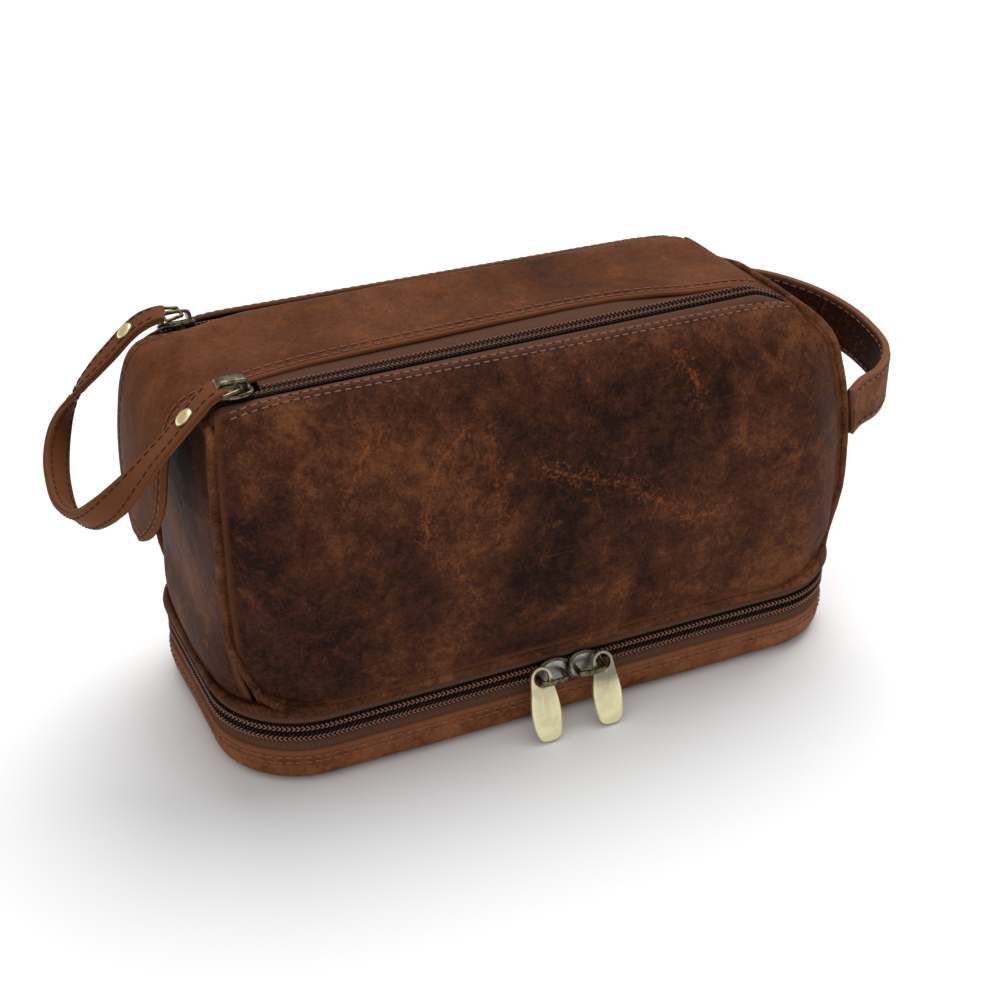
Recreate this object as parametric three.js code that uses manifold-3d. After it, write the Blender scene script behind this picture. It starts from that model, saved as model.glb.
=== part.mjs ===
// A leather wash bag: a shallow zip-off tray below, a deep compartment above, and a top
// flap between two zips that a strap pulls open together. Millimetres, +Z up, +X towards
// the carrying handle, -Y the front. The origin is under the middle of the tray.
import * as THREE from 'three';
import Module from 'manifold-3d';
import { mergeVertices } from 'three/addons/utils/BufferGeometryUtils.js';

const wasm = await Module();
wasm.setup();

// ---- Driving dimensions ----
const HALF_LENGTH = 130;        // tray outline, a rounded rectangle
const HALF_DEPTH = 60.6;
const CORNER = 35;
const CORNER_STEPS = 7;
const LEATHER = 1.8;
const TRAY_WALL_TOP = 17;
const TRAY_ZIP_Z = 22;          // centre of the chain round the tray
const WELT_Z = 30.2;            // welt between the zip and the upper bag
const UPPER_BOTTOM = 32.4;
const ZIP_END = 80;             // the tray zip stops here on each side of the rear hinge
const TOP_ZIP_Y = 34;           // the two top zips
const TOP_ZIP_Z = 150.2;
const TOP_ZIP_LEFT = -119.5;
const TOP_ZIP_RIGHT = 97.5;
const FLAP_ZIP_LEFT = -103.5;   // the flap's half of each chain, clear of the parked sliders
const FLAP_ZIP_RIGHT = 79;
const ZIP_FALL = 3.2;           // the top zips slope down to the left by this much
const TOP_SLIDER_X = -114.2;
const LINK_PIVOT = { x: -112.6, z: 150.2 };
const TRAY_SLIDER_X = { left: -8.1, right: 4.5 };
const PULL_OFFSET = 6.6;        // from a slider's middle to its pull
const PULL_PIVOT = { y: -65.2, z: 23.3 };
const PULL_TILT = 23 * Math.PI / 180;

// ---- Colours ----
const leather = (color) => new THREE.MeshStandardMaterial({ color, roughness: 0.62, metalness: 0 });
const cloth = (color) => new THREE.MeshStandardMaterial({ color, roughness: 0.95, metalness: 0 });
const metal = (color) => new THREE.MeshStandardMaterial({ color, roughness: 0.35, metalness: 0.9 });
const DARK_LEATHER = leather(0x4a2a1c);
const WARM_LEATHER = leather(0x6e4027);
const EDGE_LEATHER = leather(0x7a4a2c);
const TAPE = cloth(0x3d2418);
const COIL = new THREE.MeshStandardMaterial({ color: 0x21150f, roughness: 0.4, metalness: 0 });
const LINING = cloth(0x2b2320);
const BOARD = cloth(0x3b332b);
const BRASS = metal(0xb5a36a);
const OLD_BRASS = metal(0x6b6048);

const root = new THREE.Group();
const at = (x, y, z) => new THREE.Vector3(x, y, z);

function addNode(name, geometry, material, place = {}) {
  const mesh = new THREE.Mesh(geometry, material);
  mesh.name = name;
  if (place.position) mesh.position.set(...place.position);
  if (place.rotation) mesh.rotation.set(...place.rotation);
  root.add(mesh);
  return mesh;
}

// ---- Building solids ----

// Joins matching closed outlines, one after another, into one closed body. The two end
// outlines are filled by a ladder of faces between their first and last halves.
function loft(outlines, closed = false) {
  const count = outlines[0].length;
  const rows = outlines.length;
  const faces = [];
  const quad = (a, b, c, d) => faces.push([a, b, c], [a, c, d]);
  for (let i = 0; i < (closed ? rows : rows - 1); i += 1) {
    const next = (i + 1) % rows;
    for (let j = 0; j < count; j += 1) {
      const k = (j + 1) % count;
      quad(i * count + j, i * count + k, next * count + k, next * count + j);
    }
  }
  if (!closed) {
    const top = (rows - 1) * count;
    for (let j = 0; j < count / 2 - 1; j += 1) {
      const far = count - 1 - j;
      quad(far, far - 1, j + 1, j);
      quad(top + j, top + j + 1, top + far - 1, top + far);
    }
  }
  const points = outlines.flat();
  const volume = faces.reduce((sum, [a, b, c]) => sum
    + points[a].dot(points[b].clone().cross(points[c])), 0);
  const index = volume > 0 ? faces.flat() : faces.flatMap(([a, b, c]) => [a, c, b]);
  const geometry = new THREE.BufferGeometry().setFromPoints(points);
  geometry.setIndex(index);
  geometry.computeVertexNormals();
  return geometry;
}

// A curved sheet with thickness: point(u, v, depth) for u and v from 0 to 1.
function sheet(uSteps, vSteps, outer, inner, point) {
  const outlines = [];
  for (let i = 0; i <= uSteps; i += 1) {
    const row = (depth) => Array.from({ length: vSteps + 1 }, (_, j) => point(i / uSteps, j / vSteps, depth));
    outlines.push([...row(outer), ...row(inner).reverse()]);
  }
  return loft(outlines);
}

// The same, for a surface given without thickness: the depth is laid off along its normal.
function thickSheet(uSteps, vSteps, outer, inner, surface, inside) {
  const step = 1e-3;
  return sheet(uSteps, vSteps, outer, inner, (u, v, depth) => {
    const here = surface(u, v);
    const alongU = surface(Math.min(u + step, 1), v).sub(surface(Math.max(u - step, 0), v));
    const alongV = surface(u, Math.min(v + step, 1)).sub(surface(u, Math.max(v - step, 0)));
    const normal = alongU.cross(alongV).normalize();
    if (normal.dot(inside.clone().sub(here)) < 0) normal.negate();
    return here.addScaledVector(normal, depth);
  });
}

const curve = (points) => new THREE.CatmullRomCurve3(points.map((p) => at(...p)), false, 'centripetal');

// A flat strip along a path. wide[i] is the direction of its width at each point.
function ribbon(path, wide, width, thickness) {
  return loft(path.map((p, i) => {
    const before = path[Math.max(i - 1, 0)];
    const after = path[Math.min(i + 1, path.length - 1)];
    const along = after.clone().sub(before).normalize();
    const across = wide[i].clone().addScaledVector(along, -wide[i].dot(along)).normalize();
    const up = along.clone().cross(across);
    const corner = (a, b) => p.clone().addScaledVector(across, a * width / 2).addScaledVector(up, b * thickness / 2);
    return [corner(1, 1), corner(-1, 1), corner(-1, -1), corner(1, -1)];
  }));
}

// A round cord along a path, with a frame kept square to the given side direction.
function cordAlong(path, radius, sides, side, closed = false) {
  const rows = path.map((p, i) => {
    const before = closed ? path[(i + path.length - 1) % path.length] : path[Math.max(i - 1, 0)];
    const after = closed ? path[(i + 1) % path.length] : path[Math.min(i + 1, path.length - 1)];
    const along = after.clone().sub(before).normalize();
    const reference = side(p);
    const across = reference.clone().addScaledVector(along, -reference.dot(along)).normalize();
    const up = along.clone().cross(across);
    return Array.from({ length: sides }, (_, k) => {
      const angle = 2 * Math.PI * (k + 0.5) / sides;
      return p.clone().addScaledVector(across, radius * Math.cos(angle)).addScaledVector(up, radius * Math.sin(angle));
    });
  });
  return loft(rows, closed);
}

// A bar along X with a constant section [y, z], between the given stations [x, lift].
const barAlongX = (stations, section) => loft(stations.map(([x, lift]) => section.map(([y, z]) => at(x, y, z + lift))));

function join(...geometries) {
  const solids = geometries.map((geometry) => {
    const bare = geometry.clone();
    bare.deleteAttribute('normal');
    bare.deleteAttribute('uv');
    const merged = mergeVertices(bare, 1e-4);
    return new wasm.Manifold(new wasm.Mesh({
      numProp: 3,
      vertProperties: new Float32Array(merged.attributes.position.array),
      triVerts: new Uint32Array(merged.index.array),
    }));
  });
  const mesh = solids.reduce((sum, solid) => sum.add(solid)).getMesh();
  const geometry = new THREE.BufferGeometry();
  geometry.setAttribute('position', new THREE.BufferAttribute(new Float32Array(mesh.vertProperties), 3));
  geometry.setIndex(new THREE.BufferAttribute(new Uint32Array(mesh.triVerts), 1));
  geometry.computeVertexNormals();
  return geometry;
}

const box = (x0, x1, y0, y1, z0, z1) => new THREE.BoxGeometry(x1 - x0, y1 - y0, z1 - z0)
  .translate((x0 + x1) / 2, (y0 + y1) / 2, (z0 + z1) / 2);

// ---- The tray's outline ----

// Points round the rounded rectangle from the rear left corner by the front, with normals.
function outline(open = false) {
  const points = [];
  for (const [sx, sy, start] of [[-1, 1, 90], [-1, -1, 180], [1, -1, 270], [1, 1, 0]]) {
    for (let k = 0; k <= CORNER_STEPS; k += 1) {
      const angle = THREE.MathUtils.degToRad(start + 90 * k / CORNER_STEPS);
      const nx = Math.cos(angle);
      const ny = Math.sin(angle);
      points.push({ nx, ny, x: sx * (HALF_LENGTH - CORNER) + CORNER * nx, y: sy * (HALF_DEPTH - CORNER) + CORNER * ny });
    }
  }
  if (!open) return points;
  const rearEnd = (x) => ({ nx: 0, ny: 1, x, y: HALF_DEPTH });
  return [rearEnd(-ZIP_END), ...points, rearEnd(ZIP_END)];
}

// A band round the tray with a section of [inset, z] points.
const band = (section, open = false) => loft(
  outline(open).map((o) => section.map(([inset, z]) => at(o.x - o.nx * inset, o.y - o.ny * inset, z))), !open);

// Closed levels [inset, z] stacked into a plate or a tub.
const levels = (list) => loft(list.map(([inset, z]) => outline().map(
  (o) => at(o.x - o.nx * inset, o.y - o.ny * inset, z))));

const rectangle = (inset0, inset1, z0, z1) => [[inset0, z0], [inset0, z1], [inset1, z1], [inset1, z0]];

// ---- Tray ----
const TAPE_DEPTH = [2.4, 3.0];      // the tape lies under the leather edges
const COIL_DEPTH = [0, 2.0];
const COIL_GAP = 0.7;               // half the gap between the two rows of coil
const COIL_WIDTH = 2.8;

addNode('tray_wall', band([
  [0, TRAY_WALL_TOP], [0, 7], [1.2, 3], [4.5, 0.6], [9, 0],
  [9, LEATHER], [5.2, 2.3], [2.9, 4.2], [LEATHER, 7.6], [LEATHER, TRAY_WALL_TOP]]), WARM_LEATHER);
addNode('tray_base', levels([[9.5, 0], [9.5, LEATHER]]), WARM_LEATHER);
addNode('tray_board', levels([[10.5, 2.2], [10.5, 3.6]]), BOARD);
addNode('tray_lining', levels([[4.0, 4.0], [4.0, 15.5], [4.6, 15.5], [4.6, 4.6]]), LINING);
addNode('tray_zip_tape', band(rectangle(...TAPE_DEPTH, 12, TRAY_ZIP_Z - COIL_GAP), true), TAPE);
addNode('tray_zip_coil', band(rectangle(
  ...COIL_DEPTH, TRAY_ZIP_Z - COIL_GAP - COIL_WIDTH, TRAY_ZIP_Z - COIL_GAP), true), COIL);
addNode('rear_hinge_strip', box(-ZIP_END + 1.5, ZIP_END - 1.5, HALF_DEPTH - 3.7, HALF_DEPTH - 2.3, 10, 28.2),
  WARM_LEATHER);

// ---- Upper bag: three curves set its shape ----

// Half outlines from the lower seam to the crown, at the middle and at each end seam.
const middleCurve = curve([[0, 60.6, UPPER_BOTTOM], [0, 62.4, 50], [0, 62.9, 75], [0, 62, 100], [0, 59.5, 119],
  [0, 54.3, 134], [0, 47, 143.6], [0, 39.5, 148.4]]);
const leftSeam = curve([[-119.6, 48, UPPER_BOTTOM], [-124.6, 46.6, 50], [-126.4, 46, 75], [-126.4, 46, 100],
  [-126.4, 46, 117], [-126.2, 46, 129.5], [-125.4, 44.8, 138.8], [-123.5, 39.5, 144.8]]);
const rightSeam = curve([[120.2, 48, UPPER_BOTTOM], [125, 46.6, 50], [126.6, 46, 75], [124.4, 46, 100],
  [120.2, 46, 117], [115, 46, 130], [106, 45.4, 140], [100.5, 39.5, 144.6]]);
const ROLL_START = 0.74;      // share of the half length where the panels start to roll in
const ROLL_POWER = 2;
const SEAM_MARGIN = 0.979;    // the panels stop just short of the end seams

function panelPoint(side, across, up) {
  const u = 2 * across - 1;
  const reach = Math.abs(u) * SEAM_MARGIN;
  const middle = middleCurve.getPoint(up);
  const seam = (u < 0 ? leftSeam : rightSeam).getPoint(up);
  const roll = Math.max(0, (reach - ROLL_START) / (1 - ROLL_START)) ** ROLL_POWER;
  return at(seam.x * reach, side * THREE.MathUtils.lerp(middle.y, seam.y, roll),
    THREE.MathUtils.lerp(middle.z, seam.z, roll));
}

const BAG_CENTRE = at(0, 0, 90);
for (const [name, side] of [['front_panel', -1], ['back_panel', 1]]) {
  addNode(name, thickSheet(24, 12, 0, LEATHER, (u, v) => panelPoint(side, u, v), BAG_CENTRE), DARK_LEATHER);
}

// End panels: the seam's profile carried across, bulging outward in the middle.
const LOW_BULGE = 10;
const HIGH_BULGE = 3.4;
const TOP_BULGE = 0.4;
const END_INSET = 0.6;          // the end panels stop inside the piping, and sit a little below it
const END_SIDE_GAP = 2.3;

function endPanel(seam, lastPoint) {
  return (u, v) => {
    const along = v * lastPoint;
    const edge = seam.getPoint(along);
    const ahead = seam.getPoint(Math.min(along + 0.01, 1));
    const behind = seam.getPoint(Math.max(along - 0.01, 0));
    const outward = at(ahead.z - behind.z, 0, behind.x - ahead.x).normalize();
    if (outward.x * Math.sign(edge.x) < 0) outward.negate();
    outward.setZ(Math.max(outward.z, 0)).normalize();
    const low = THREE.MathUtils.smoothstep(edge.z, UPPER_BOTTOM, 62);
    const high = THREE.MathUtils.smoothstep(edge.z, 110, 144);
    const bulge = THREE.MathUtils.lerp(THREE.MathUtils.lerp(LOW_BULGE, HIGH_BULGE, low), TOP_BULGE, high);
    const y = (edge.y - END_SIDE_GAP) * (2 * u - 1);
    const fall = 1 - Math.abs(y / edge.y) ** 4;
    return at(edge.x, y, edge.z).addScaledVector(outward, bulge * fall - END_INSET);
  };
}

addNode('left_end_panel', thickSheet(12, 10, 0, LEATHER, endPanel(leftSeam, 0.84), BAG_CENTRE), DARK_LEATHER);
addNode('right_end_panel', thickSheet(12, 12, 0, LEATHER, endPanel(rightSeam, 0.915), at(60, 0, 80)), DARK_LEATHER);

// Piping in the end seams, down one side, over the top and down the other.
const PIPING = 1.5;
function pipingPath(seam, lastPoint, topX, topZ) {
  const side = [];
  for (let k = 0; k <= 12; k += 1) {
    const p = seam.getPoint(lastPoint * k / 12);
    side.push(at(p.x + Math.sign(p.x) * 0.7, p.y + 0.6, p.z + (k === 0 ? 1.6 : 0)));
  }
  const front = side.map((p) => at(p.x, -p.y, p.z));
  const back = side.slice().reverse();
  return [...front, at(topX, -30, topZ), at(topX, 0, topZ), at(topX, 30, topZ), ...back];
}
const outward = (p) => p.clone().sub(BAG_CENTRE).normalize();
for (const [name, seam, lastPoint, topX, topZ] of [
  ['left_piping', leftSeam, 0.86, -124.8, 141.2],
  ['right_piping', rightSeam, 0.95, 102.6, 144]]) {
  addNode(name, cordAlong(pipingPath(seam, lastPoint, topX, topZ), PIPING, 6, outward), EDGE_LEATHER);
}

// Welt round the bottom of the upper bag, its half of the tray zip, and the floor.
const WELT = 1.6;
const WELT_SIDES = 6;
addNode('lower_welt', band(Array.from({ length: WELT_SIDES }, (_, k) => {
  const angle = 2 * Math.PI * (k + 0.5) / WELT_SIDES;
  return [0.2 + WELT * Math.cos(angle), WELT_Z + WELT * Math.sin(angle)];
})), EDGE_LEATHER);
addNode('bag_zip_tape', band(rectangle(...TAPE_DEPTH, TRAY_ZIP_Z + COIL_GAP, WELT_Z), true), TAPE);
addNode('bag_zip_coil', band(rectangle(
  ...COIL_DEPTH, TRAY_ZIP_Z + COIL_GAP, TRAY_ZIP_Z + COIL_GAP + COIL_WIDTH), true), COIL);
addNode('compartment_floor', levels([[5.0, 31], [5.0, 32.6]]), BOARD);

// Upper lining: a thin tub. Each level is [left end, right end, half depth, z].
function liningLevel([left, right, halfDepth, z], inset) {
  const radius = 30;
  const middle = (left + right) / 2;
  const halfLength = (right - left) / 2 - inset;
  return outline().map((o) => at(
    middle + Math.sign(o.x) * (halfLength - radius) + radius * o.nx,
    Math.sign(o.y) * (halfDepth - inset - radius) + radius * o.ny, z));
}
const LINING_LEVELS = [[-121, 121, 55, 33.4], [-122, 121, 57.4, 60], [-122, 119, 57, 90], [-122, 113, 54.5, 112],
  [-121, 104, 49.5, 128], [-119, 96, 44, 138]];
const LINING_THICKNESS = 0.7;
addNode('upper_lining', loft([
  ...LINING_LEVELS.map((level) => liningLevel(level, 0)),
  ...LINING_LEVELS.slice(1).reverse().map((level) => liningLevel(level, LINING_THICKNESS)),
  liningLevel([-121, 121, 55, 33.4 + LINING_THICKNESS], LINING_THICKNESS),
]), LINING);

// ---- Top zips ----

// The zips slope down a little to the left, and sink towards the right end seam.
const ZIP_DIP = { depth: 5, from: 84, to: 101 };
function zipLift(x) {
  const fall = ZIP_FALL * Math.max(0, ZIP_DIP.from - x) / (ZIP_DIP.from - TOP_ZIP_LEFT);
  return -fall - ZIP_DIP.depth * THREE.MathUtils.smoothstep(x, ZIP_DIP.from, ZIP_DIP.to);
}
const stations = (from, to) => [from, ZIP_DIP.from, 88, 91, 94, 97.5]
  .filter((x, i) => i === 0 || (x > from && x < to)).concat(to).map((x) => [x, zipLift(x)]);

// Sections are [distance outward from the zip, height over the zip's surface].
function zipPart(name, side, section, from, to, material) {
  const placed = section.map(([out, z]) => [side * (TOP_ZIP_Y + out), TOP_ZIP_Z + z]);
  addNode(name, barAlongX(stations(from, to), placed), material);
}
const BAG_TAPE = [[COIL_GAP, -2.3], [3.4, -2.7], [6, -5.3], [6, -5.9], [3.4, -3.3], [COIL_GAP, -2.9]];
const FLAP_TAPE = [[-COIL_GAP, -2.3], [-9, -2.3], [-9, -2.9], [-COIL_GAP, -2.9]];
const coilSection = (side) => [[side * COIL_GAP, 0], [side * (COIL_GAP + COIL_WIDTH), 0],
  [side * (COIL_GAP + COIL_WIDTH), -2], [side * COIL_GAP, -2]];
for (const [end, side] of [['front', -1], ['rear', 1]]) {
  zipPart(`${end}_zip_tape`, side, BAG_TAPE, TOP_ZIP_LEFT, TOP_ZIP_RIGHT, TAPE);
  zipPart(`${end}_zip_coil`, side, coilSection(1), TOP_ZIP_LEFT, TOP_ZIP_RIGHT, COIL);
  zipPart(`flap_${end}_tape`, side, FLAP_TAPE, FLAP_ZIP_LEFT, FLAP_ZIP_RIGHT, TAPE);
  zipPart(`flap_${end}_coil`, side, coilSection(-1), FLAP_ZIP_LEFT, FLAP_ZIP_RIGHT, COIL);
}

// ---- Flap, with a tongue that hangs over the left end ----
const FLAP_HALF = 24.5;
const TONGUE_HALF = 30.8;
const TONGUE_ROUND_TOP = 114;
const TONGUE_TIP = 81;
const flapLine = curve([[97, 0, 146.8], [90, 0, 149.4], [60, 0, 151.5], [0, 0, 152], [-60, 0, 151.8],
  [-100, 0, 151], [-114, 0, 150.3], [-123, 0, 148.8], [-130, 0, 145.6], [-135.6, 0, 139.8], [-139.2, 0, 131],
  [-141.6, 0, 118], [-143.2, 0, 103], [-144, 0, 92], [-144.4, 0, 82.2]]);

function flapHalfWidth(p) {
  if (p.x > -138) return THREE.MathUtils.lerp(TONGUE_HALF, FLAP_HALF, THREE.MathUtils.smoothstep(p.x, -136, -98));
  const t = Math.max(0, (TONGUE_ROUND_TOP - p.z) / (TONGUE_ROUND_TOP - TONGUE_TIP));
  return TONGUE_HALF * (1 - t * t) ** 0.8;
}

// Points spread evenly over the crossways width, with a slight crown.
const FLAP_CROWN = 1;
function flapPoint(inset, from, to) {
  return (u, v) => {
    const p = flapLine.getPoint(from + (to - from) * u);
    const half = Math.max(flapHalfWidth(p) - inset, 1);
    const y = half * (2 * v - 1);
    const crown = FLAP_CROWN * (y / FLAP_HALF) ** 2;
    return at(p.x + crown * THREE.MathUtils.smoothstep(-p.x, 118, 138), y,
      p.z - crown * THREE.MathUtils.smoothstep(p.x, -138, -118));
  };
}
const UNDER_FLAP = at(-40, 0, 60);
addNode('top_flap', thickSheet(42, 6, 0, 1.5, flapPoint(0, 0, 1), UNDER_FLAP), WARM_LEATHER);
addNode('flap_lining', thickSheet(40, 6, 2.4, 3.0, flapPoint(3, 0.02, 0.97), UNDER_FLAP), LINING);

// ---- Zip sliders ----

// A slider lies in its own frame: chain along X, its outer face towards +Z, nose at -X.
function slider({ halfWidth, nose, tail, legs, archWidth, archRise }) {
  const shape = new THREE.Shape();
  shape.moveTo(nose, -halfWidth * 0.45);
  shape.lineTo(nose, halfWidth * 0.45);
  shape.lineTo(nose * 0.45, halfWidth * 0.86);
  shape.lineTo(0.6, halfWidth);
  shape.lineTo(tail * 0.65, halfWidth * 0.86);
  shape.lineTo(tail, halfWidth * 0.4);
  shape.lineTo(tail, -halfWidth * 0.4);
  shape.lineTo(tail * 0.65, -halfWidth * 0.86);
  shape.lineTo(0.6, -halfWidth);
  shape.lineTo(nose * 0.45, -halfWidth * 0.86);
  shape.closePath();
  const plate = new THREE.ExtrudeGeometry(shape, { depth: 1.2, bevelEnabled: false }).translate(0, 0, 0.5);
  const post = box(0, 3, -0.35, 0.35, -4.2, 0.8);
  const inner = box(nose + 1.5, tail - 1, -3.3, 3.3, -4.9, -3.8);
  const bar = 1.3;
  const base = 1.4;
  const top = 1.7 + archRise;
  const leg = (x) => box(x - 0.8, x + 0.8, -archWidth / 2, archWidth / 2, base, top);
  const bridge = box(legs[0] - 0.8, legs[1] + 0.8, -archWidth / 2, archWidth / 2, top - bar, top);
  return join(plate, post, inner, leg(legs[0]), leg(legs[1]), bridge);
}

const TOP_SLIDER = { halfWidth: 5.2, nose: -7, tail: 7, legs: [-5.2, 5], archWidth: 5, archRise: 4.6 };
const TRAY_SLIDER = { halfWidth: 6.2, nose: -8, tail: 6, legs: [-PULL_OFFSET, 3.6], archWidth: 2.2, archRise: 6.4 };
for (const [end, side] of [['front', -1], ['rear', 1]]) {
  addNode(`top_${end}_slider`, slider(TOP_SLIDER), OLD_BRASS,
    { position: [TOP_SLIDER_X, side * TOP_ZIP_Y, TOP_ZIP_Z + zipLift(TOP_SLIDER_X)] });
}
addNode('left_slider', slider(TRAY_SLIDER), OLD_BRASS,
  { position: [TRAY_SLIDER_X.left, -HALF_DEPTH, TRAY_ZIP_Z], rotation: [Math.PI / 2, 0, 0] });
addNode('right_slider', slider(TRAY_SLIDER).rotateZ(Math.PI), OLD_BRASS,
  { position: [TRAY_SLIDER_X.right, -HALF_DEPTH, TRAY_ZIP_Z], rotation: [Math.PI / 2, 0, 0] });

// ---- Pulls on the tray zip: a barrel outline with an eye at the top, in its own XY plane ----
const PULL_HOLE = 3.1;
const PULL_END = { half: 3.7, drop: 24 };
function pull() {
  const shape = new THREE.Shape();
  const eye = 4.6;
  shape.moveTo(-PULL_END.half, -PULL_END.drop);
  shape.bezierCurveTo(-6.1, -16, -6.2, -9, -eye, 0);
  shape.absarc(0, 0, eye, Math.PI, 0, true);
  shape.bezierCurveTo(6.2, -9, 6.1, -16, PULL_END.half, -PULL_END.drop);
  shape.closePath();
  const hole = new THREE.Path();
  hole.absarc(0, 0, PULL_HOLE, 0, 2 * Math.PI, false);
  shape.holes.push(hole);
  return new THREE.ExtrudeGeometry(shape, { depth: 2, bevelEnabled: false, curveSegments: 8 }).translate(0, 0, -1);
}
for (const side of ['left', 'right']) {
  const x = TRAY_SLIDER_X[side] + (side === 'left' ? -PULL_OFFSET : PULL_OFFSET);
  addNode(`${side}_pull`, pull(), BRASS,
    { position: [x, PULL_PIVOT.y, PULL_PIVOT.z], rotation: [Math.PI / 2 - PULL_TILT, 0, 0] });
}

// ---- Strap loop that draws both top sliders, with its links and rivets ----
const STRAP_WIDTH = 10.6;
const STRAP_THICKNESS = 2.6;
const LINK_LEFT = -121.8;
const LINK_HALF = 6.3;
const WIRE = 0.65;
for (const [end, side] of [['front', -1], ['rear', 1]]) {
  const y = side * TOP_ZIP_Y;
  const ring = [[LINK_PIVOT.x, 1], [LINK_PIVOT.x - 0.5, 1.08], [LINK_LEFT + 0.5, 1.08], [LINK_LEFT, 1]]
    .map(([x, share]) => at(x, y + share * LINK_HALF, LINK_PIVOT.z));
  const other = ring.slice().reverse().map((p) => at(p.x, 2 * y - p.y, p.z));
  addNode(`${end}_link`, cordAlong([...ring, ...other], WIRE, 6, () => at(0, 0, 1), true), OLD_BRASS);
}
const halfStrap = [[-124.4, 36, 148.6], [-127.5, 37.4, 146.6], [-131.5, 38.2, 143.4], [-137.3, 38.6, 138],
  [-143.7, 38.8, 132.2], [-150, 38.7, 126], [-156, 36.6, 119.2], [-161, 31.6, 112.8], [-165, 22.5, 106],
  [-167, 11, 102]];
const strapCurve = curve([...halfStrap.map(([x, y, z]) => [x, -y, z]), [-167.7, 0, 100.6],
  ...halfStrap.slice().reverse()]);
const STRAP_STEPS = 36;
const strapPath = strapCurve.getSpacedPoints(STRAP_STEPS);
const flat = at(0, 1, 0);
const turned = at(-0.72, 0, 0.69);
const strapWide = strapPath.map((p, i) => {
  const turn = THREE.MathUtils.smoothstep(1 - Math.abs(2 * i / STRAP_STEPS - 1), 0.25, 0.85);
  const sideSign = i <= STRAP_STEPS / 2 ? 1 : -1;
  const start = flat.clone().multiplyScalar(sideSign);
  return start.lerp(turned, turn).normalize();
});
addNode('pull_strap', ribbon(strapPath, strapWide, STRAP_WIDTH, STRAP_THICKNESS), WARM_LEATHER);

// A rivet cap lies on the strap's upper face, a little way along from each link.
const RIVET_SHARE = 0.05;
const RIVET_RADIUS = 3.2;
const RIVET_CAP = 0.9;
const CAP_LIFT = STRAP_THICKNESS / 2 + 0.35 + RIVET_CAP / 2;
for (const [end, share] of [['front', RIVET_SHARE], ['rear', 1 - RIVET_SHARE]]) {
  const along = strapCurve.getTangentAt(share);
  const up = at(-along.z, 0, along.x);
  if (up.z < 0) up.negate();
  const middle = strapCurve.getPointAt(share).addScaledVector(up.normalize(), CAP_LIFT);
  const cap = new THREE.CylinderGeometry(RIVET_RADIUS, RIVET_RADIUS, RIVET_CAP, 16).rotateX(Math.PI / 2);
  addNode(`${end}_rivet`, cap, BRASS, { position: middle.toArray(), rotation: [0, Math.atan2(up.x, up.z), 0] });
}

// ---- Carrying handle across the right end ----
const HANDLE_WIDTH = 21;
const HANDLE_THICKNESS = 3;
const handleCurve = curve([[130.2, -44.6, 94], [137, -41, 95.5], [147, -37, 96], [155, -31, 97], [161, -22, 98.5],
  [163.5, -9, 100.5], [163, 5, 103], [158, 20, 106], [149, 33, 108.5], [139, 42, 110.3], [130.2, 45.6, 111]]);
const handlePath = handleCurve.getSpacedPoints(24);
const upright = handlePath.map(() => at(0, 0, 1));
addNode('side_handle', ribbon(handlePath, upright, HANDLE_WIDTH, HANDLE_THICKNESS), WARM_LEATHER);

export default root;
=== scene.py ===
"""Looks for a leather wash bag: a zip-off tray below, a deep compartment above, and a top flap
between two zips that a strap pulls open. Lengths are millimetres until make() turns them to
metres. +Z up, +X towards the carrying handle, -Y the front."""

import math

import bmesh
import bpy
import numpy as np
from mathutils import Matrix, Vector


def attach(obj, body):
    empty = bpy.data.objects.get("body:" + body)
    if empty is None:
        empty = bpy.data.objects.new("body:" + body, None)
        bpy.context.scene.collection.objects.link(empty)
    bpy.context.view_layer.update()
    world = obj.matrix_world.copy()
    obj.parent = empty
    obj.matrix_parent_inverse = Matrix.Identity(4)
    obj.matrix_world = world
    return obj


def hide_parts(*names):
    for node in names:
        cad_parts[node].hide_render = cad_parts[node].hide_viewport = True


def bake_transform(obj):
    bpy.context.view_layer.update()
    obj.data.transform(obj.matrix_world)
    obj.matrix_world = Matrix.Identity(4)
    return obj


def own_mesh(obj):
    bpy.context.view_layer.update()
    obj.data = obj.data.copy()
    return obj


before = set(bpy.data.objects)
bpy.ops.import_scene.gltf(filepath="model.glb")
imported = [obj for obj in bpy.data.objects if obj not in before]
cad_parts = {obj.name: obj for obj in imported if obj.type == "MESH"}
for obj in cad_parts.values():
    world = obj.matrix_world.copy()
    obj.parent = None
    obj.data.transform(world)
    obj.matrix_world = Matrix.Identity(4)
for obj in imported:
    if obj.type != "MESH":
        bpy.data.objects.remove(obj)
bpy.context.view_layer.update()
MM = 0.001

# ---- Driving dimensions ----
HALF_LENGTH = 130
HALF_DEPTH = 60.6
CORNER = 35
LEATHER = 1.8
TRAY_ZIP_Z = 22
WELT_Z = 30.2
UPPER_BOTTOM = 32.4
ZIP_END = 80
TOP_ZIP_Y = 34
TOP_ZIP_Z = 150.2
TOP_ZIP_LEFT = -119.5
TOP_ZIP_RIGHT = 97.5
FLAP_ZIP_LEFT = -103.5
FLAP_ZIP_RIGHT = 79
ZIP_FALL = 3.2
ZIP_DIP_DEPTH = 5
ZIP_DIP_FROM = 84
ZIP_DIP_TO = 101
TOP_SLIDER_X = -114.2
LINK_PIVOT_X = -112.6
LINK_LEFT = -119.2
LINK_Z = 150.2
TRAY_SLIDERS = {"left": -8.1, "right": 4.5}
PULL_OFFSET = 6.6
PULL_PIVOT_Y = -65.2
PULL_PIVOT_Z = 23.3
PULL_TILT = math.radians(23)
COIL_PITCH = 1.73
BAG_CENTRE = np.array([0, 0, 90.0])
UNDER_FLAP = np.array([-40, 0, 60.0])
UP = np.array([0, 0, 1.0])


# ---- Small tools ----
def lerp(a, b, t):
    return a + (b - a) * t


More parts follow.
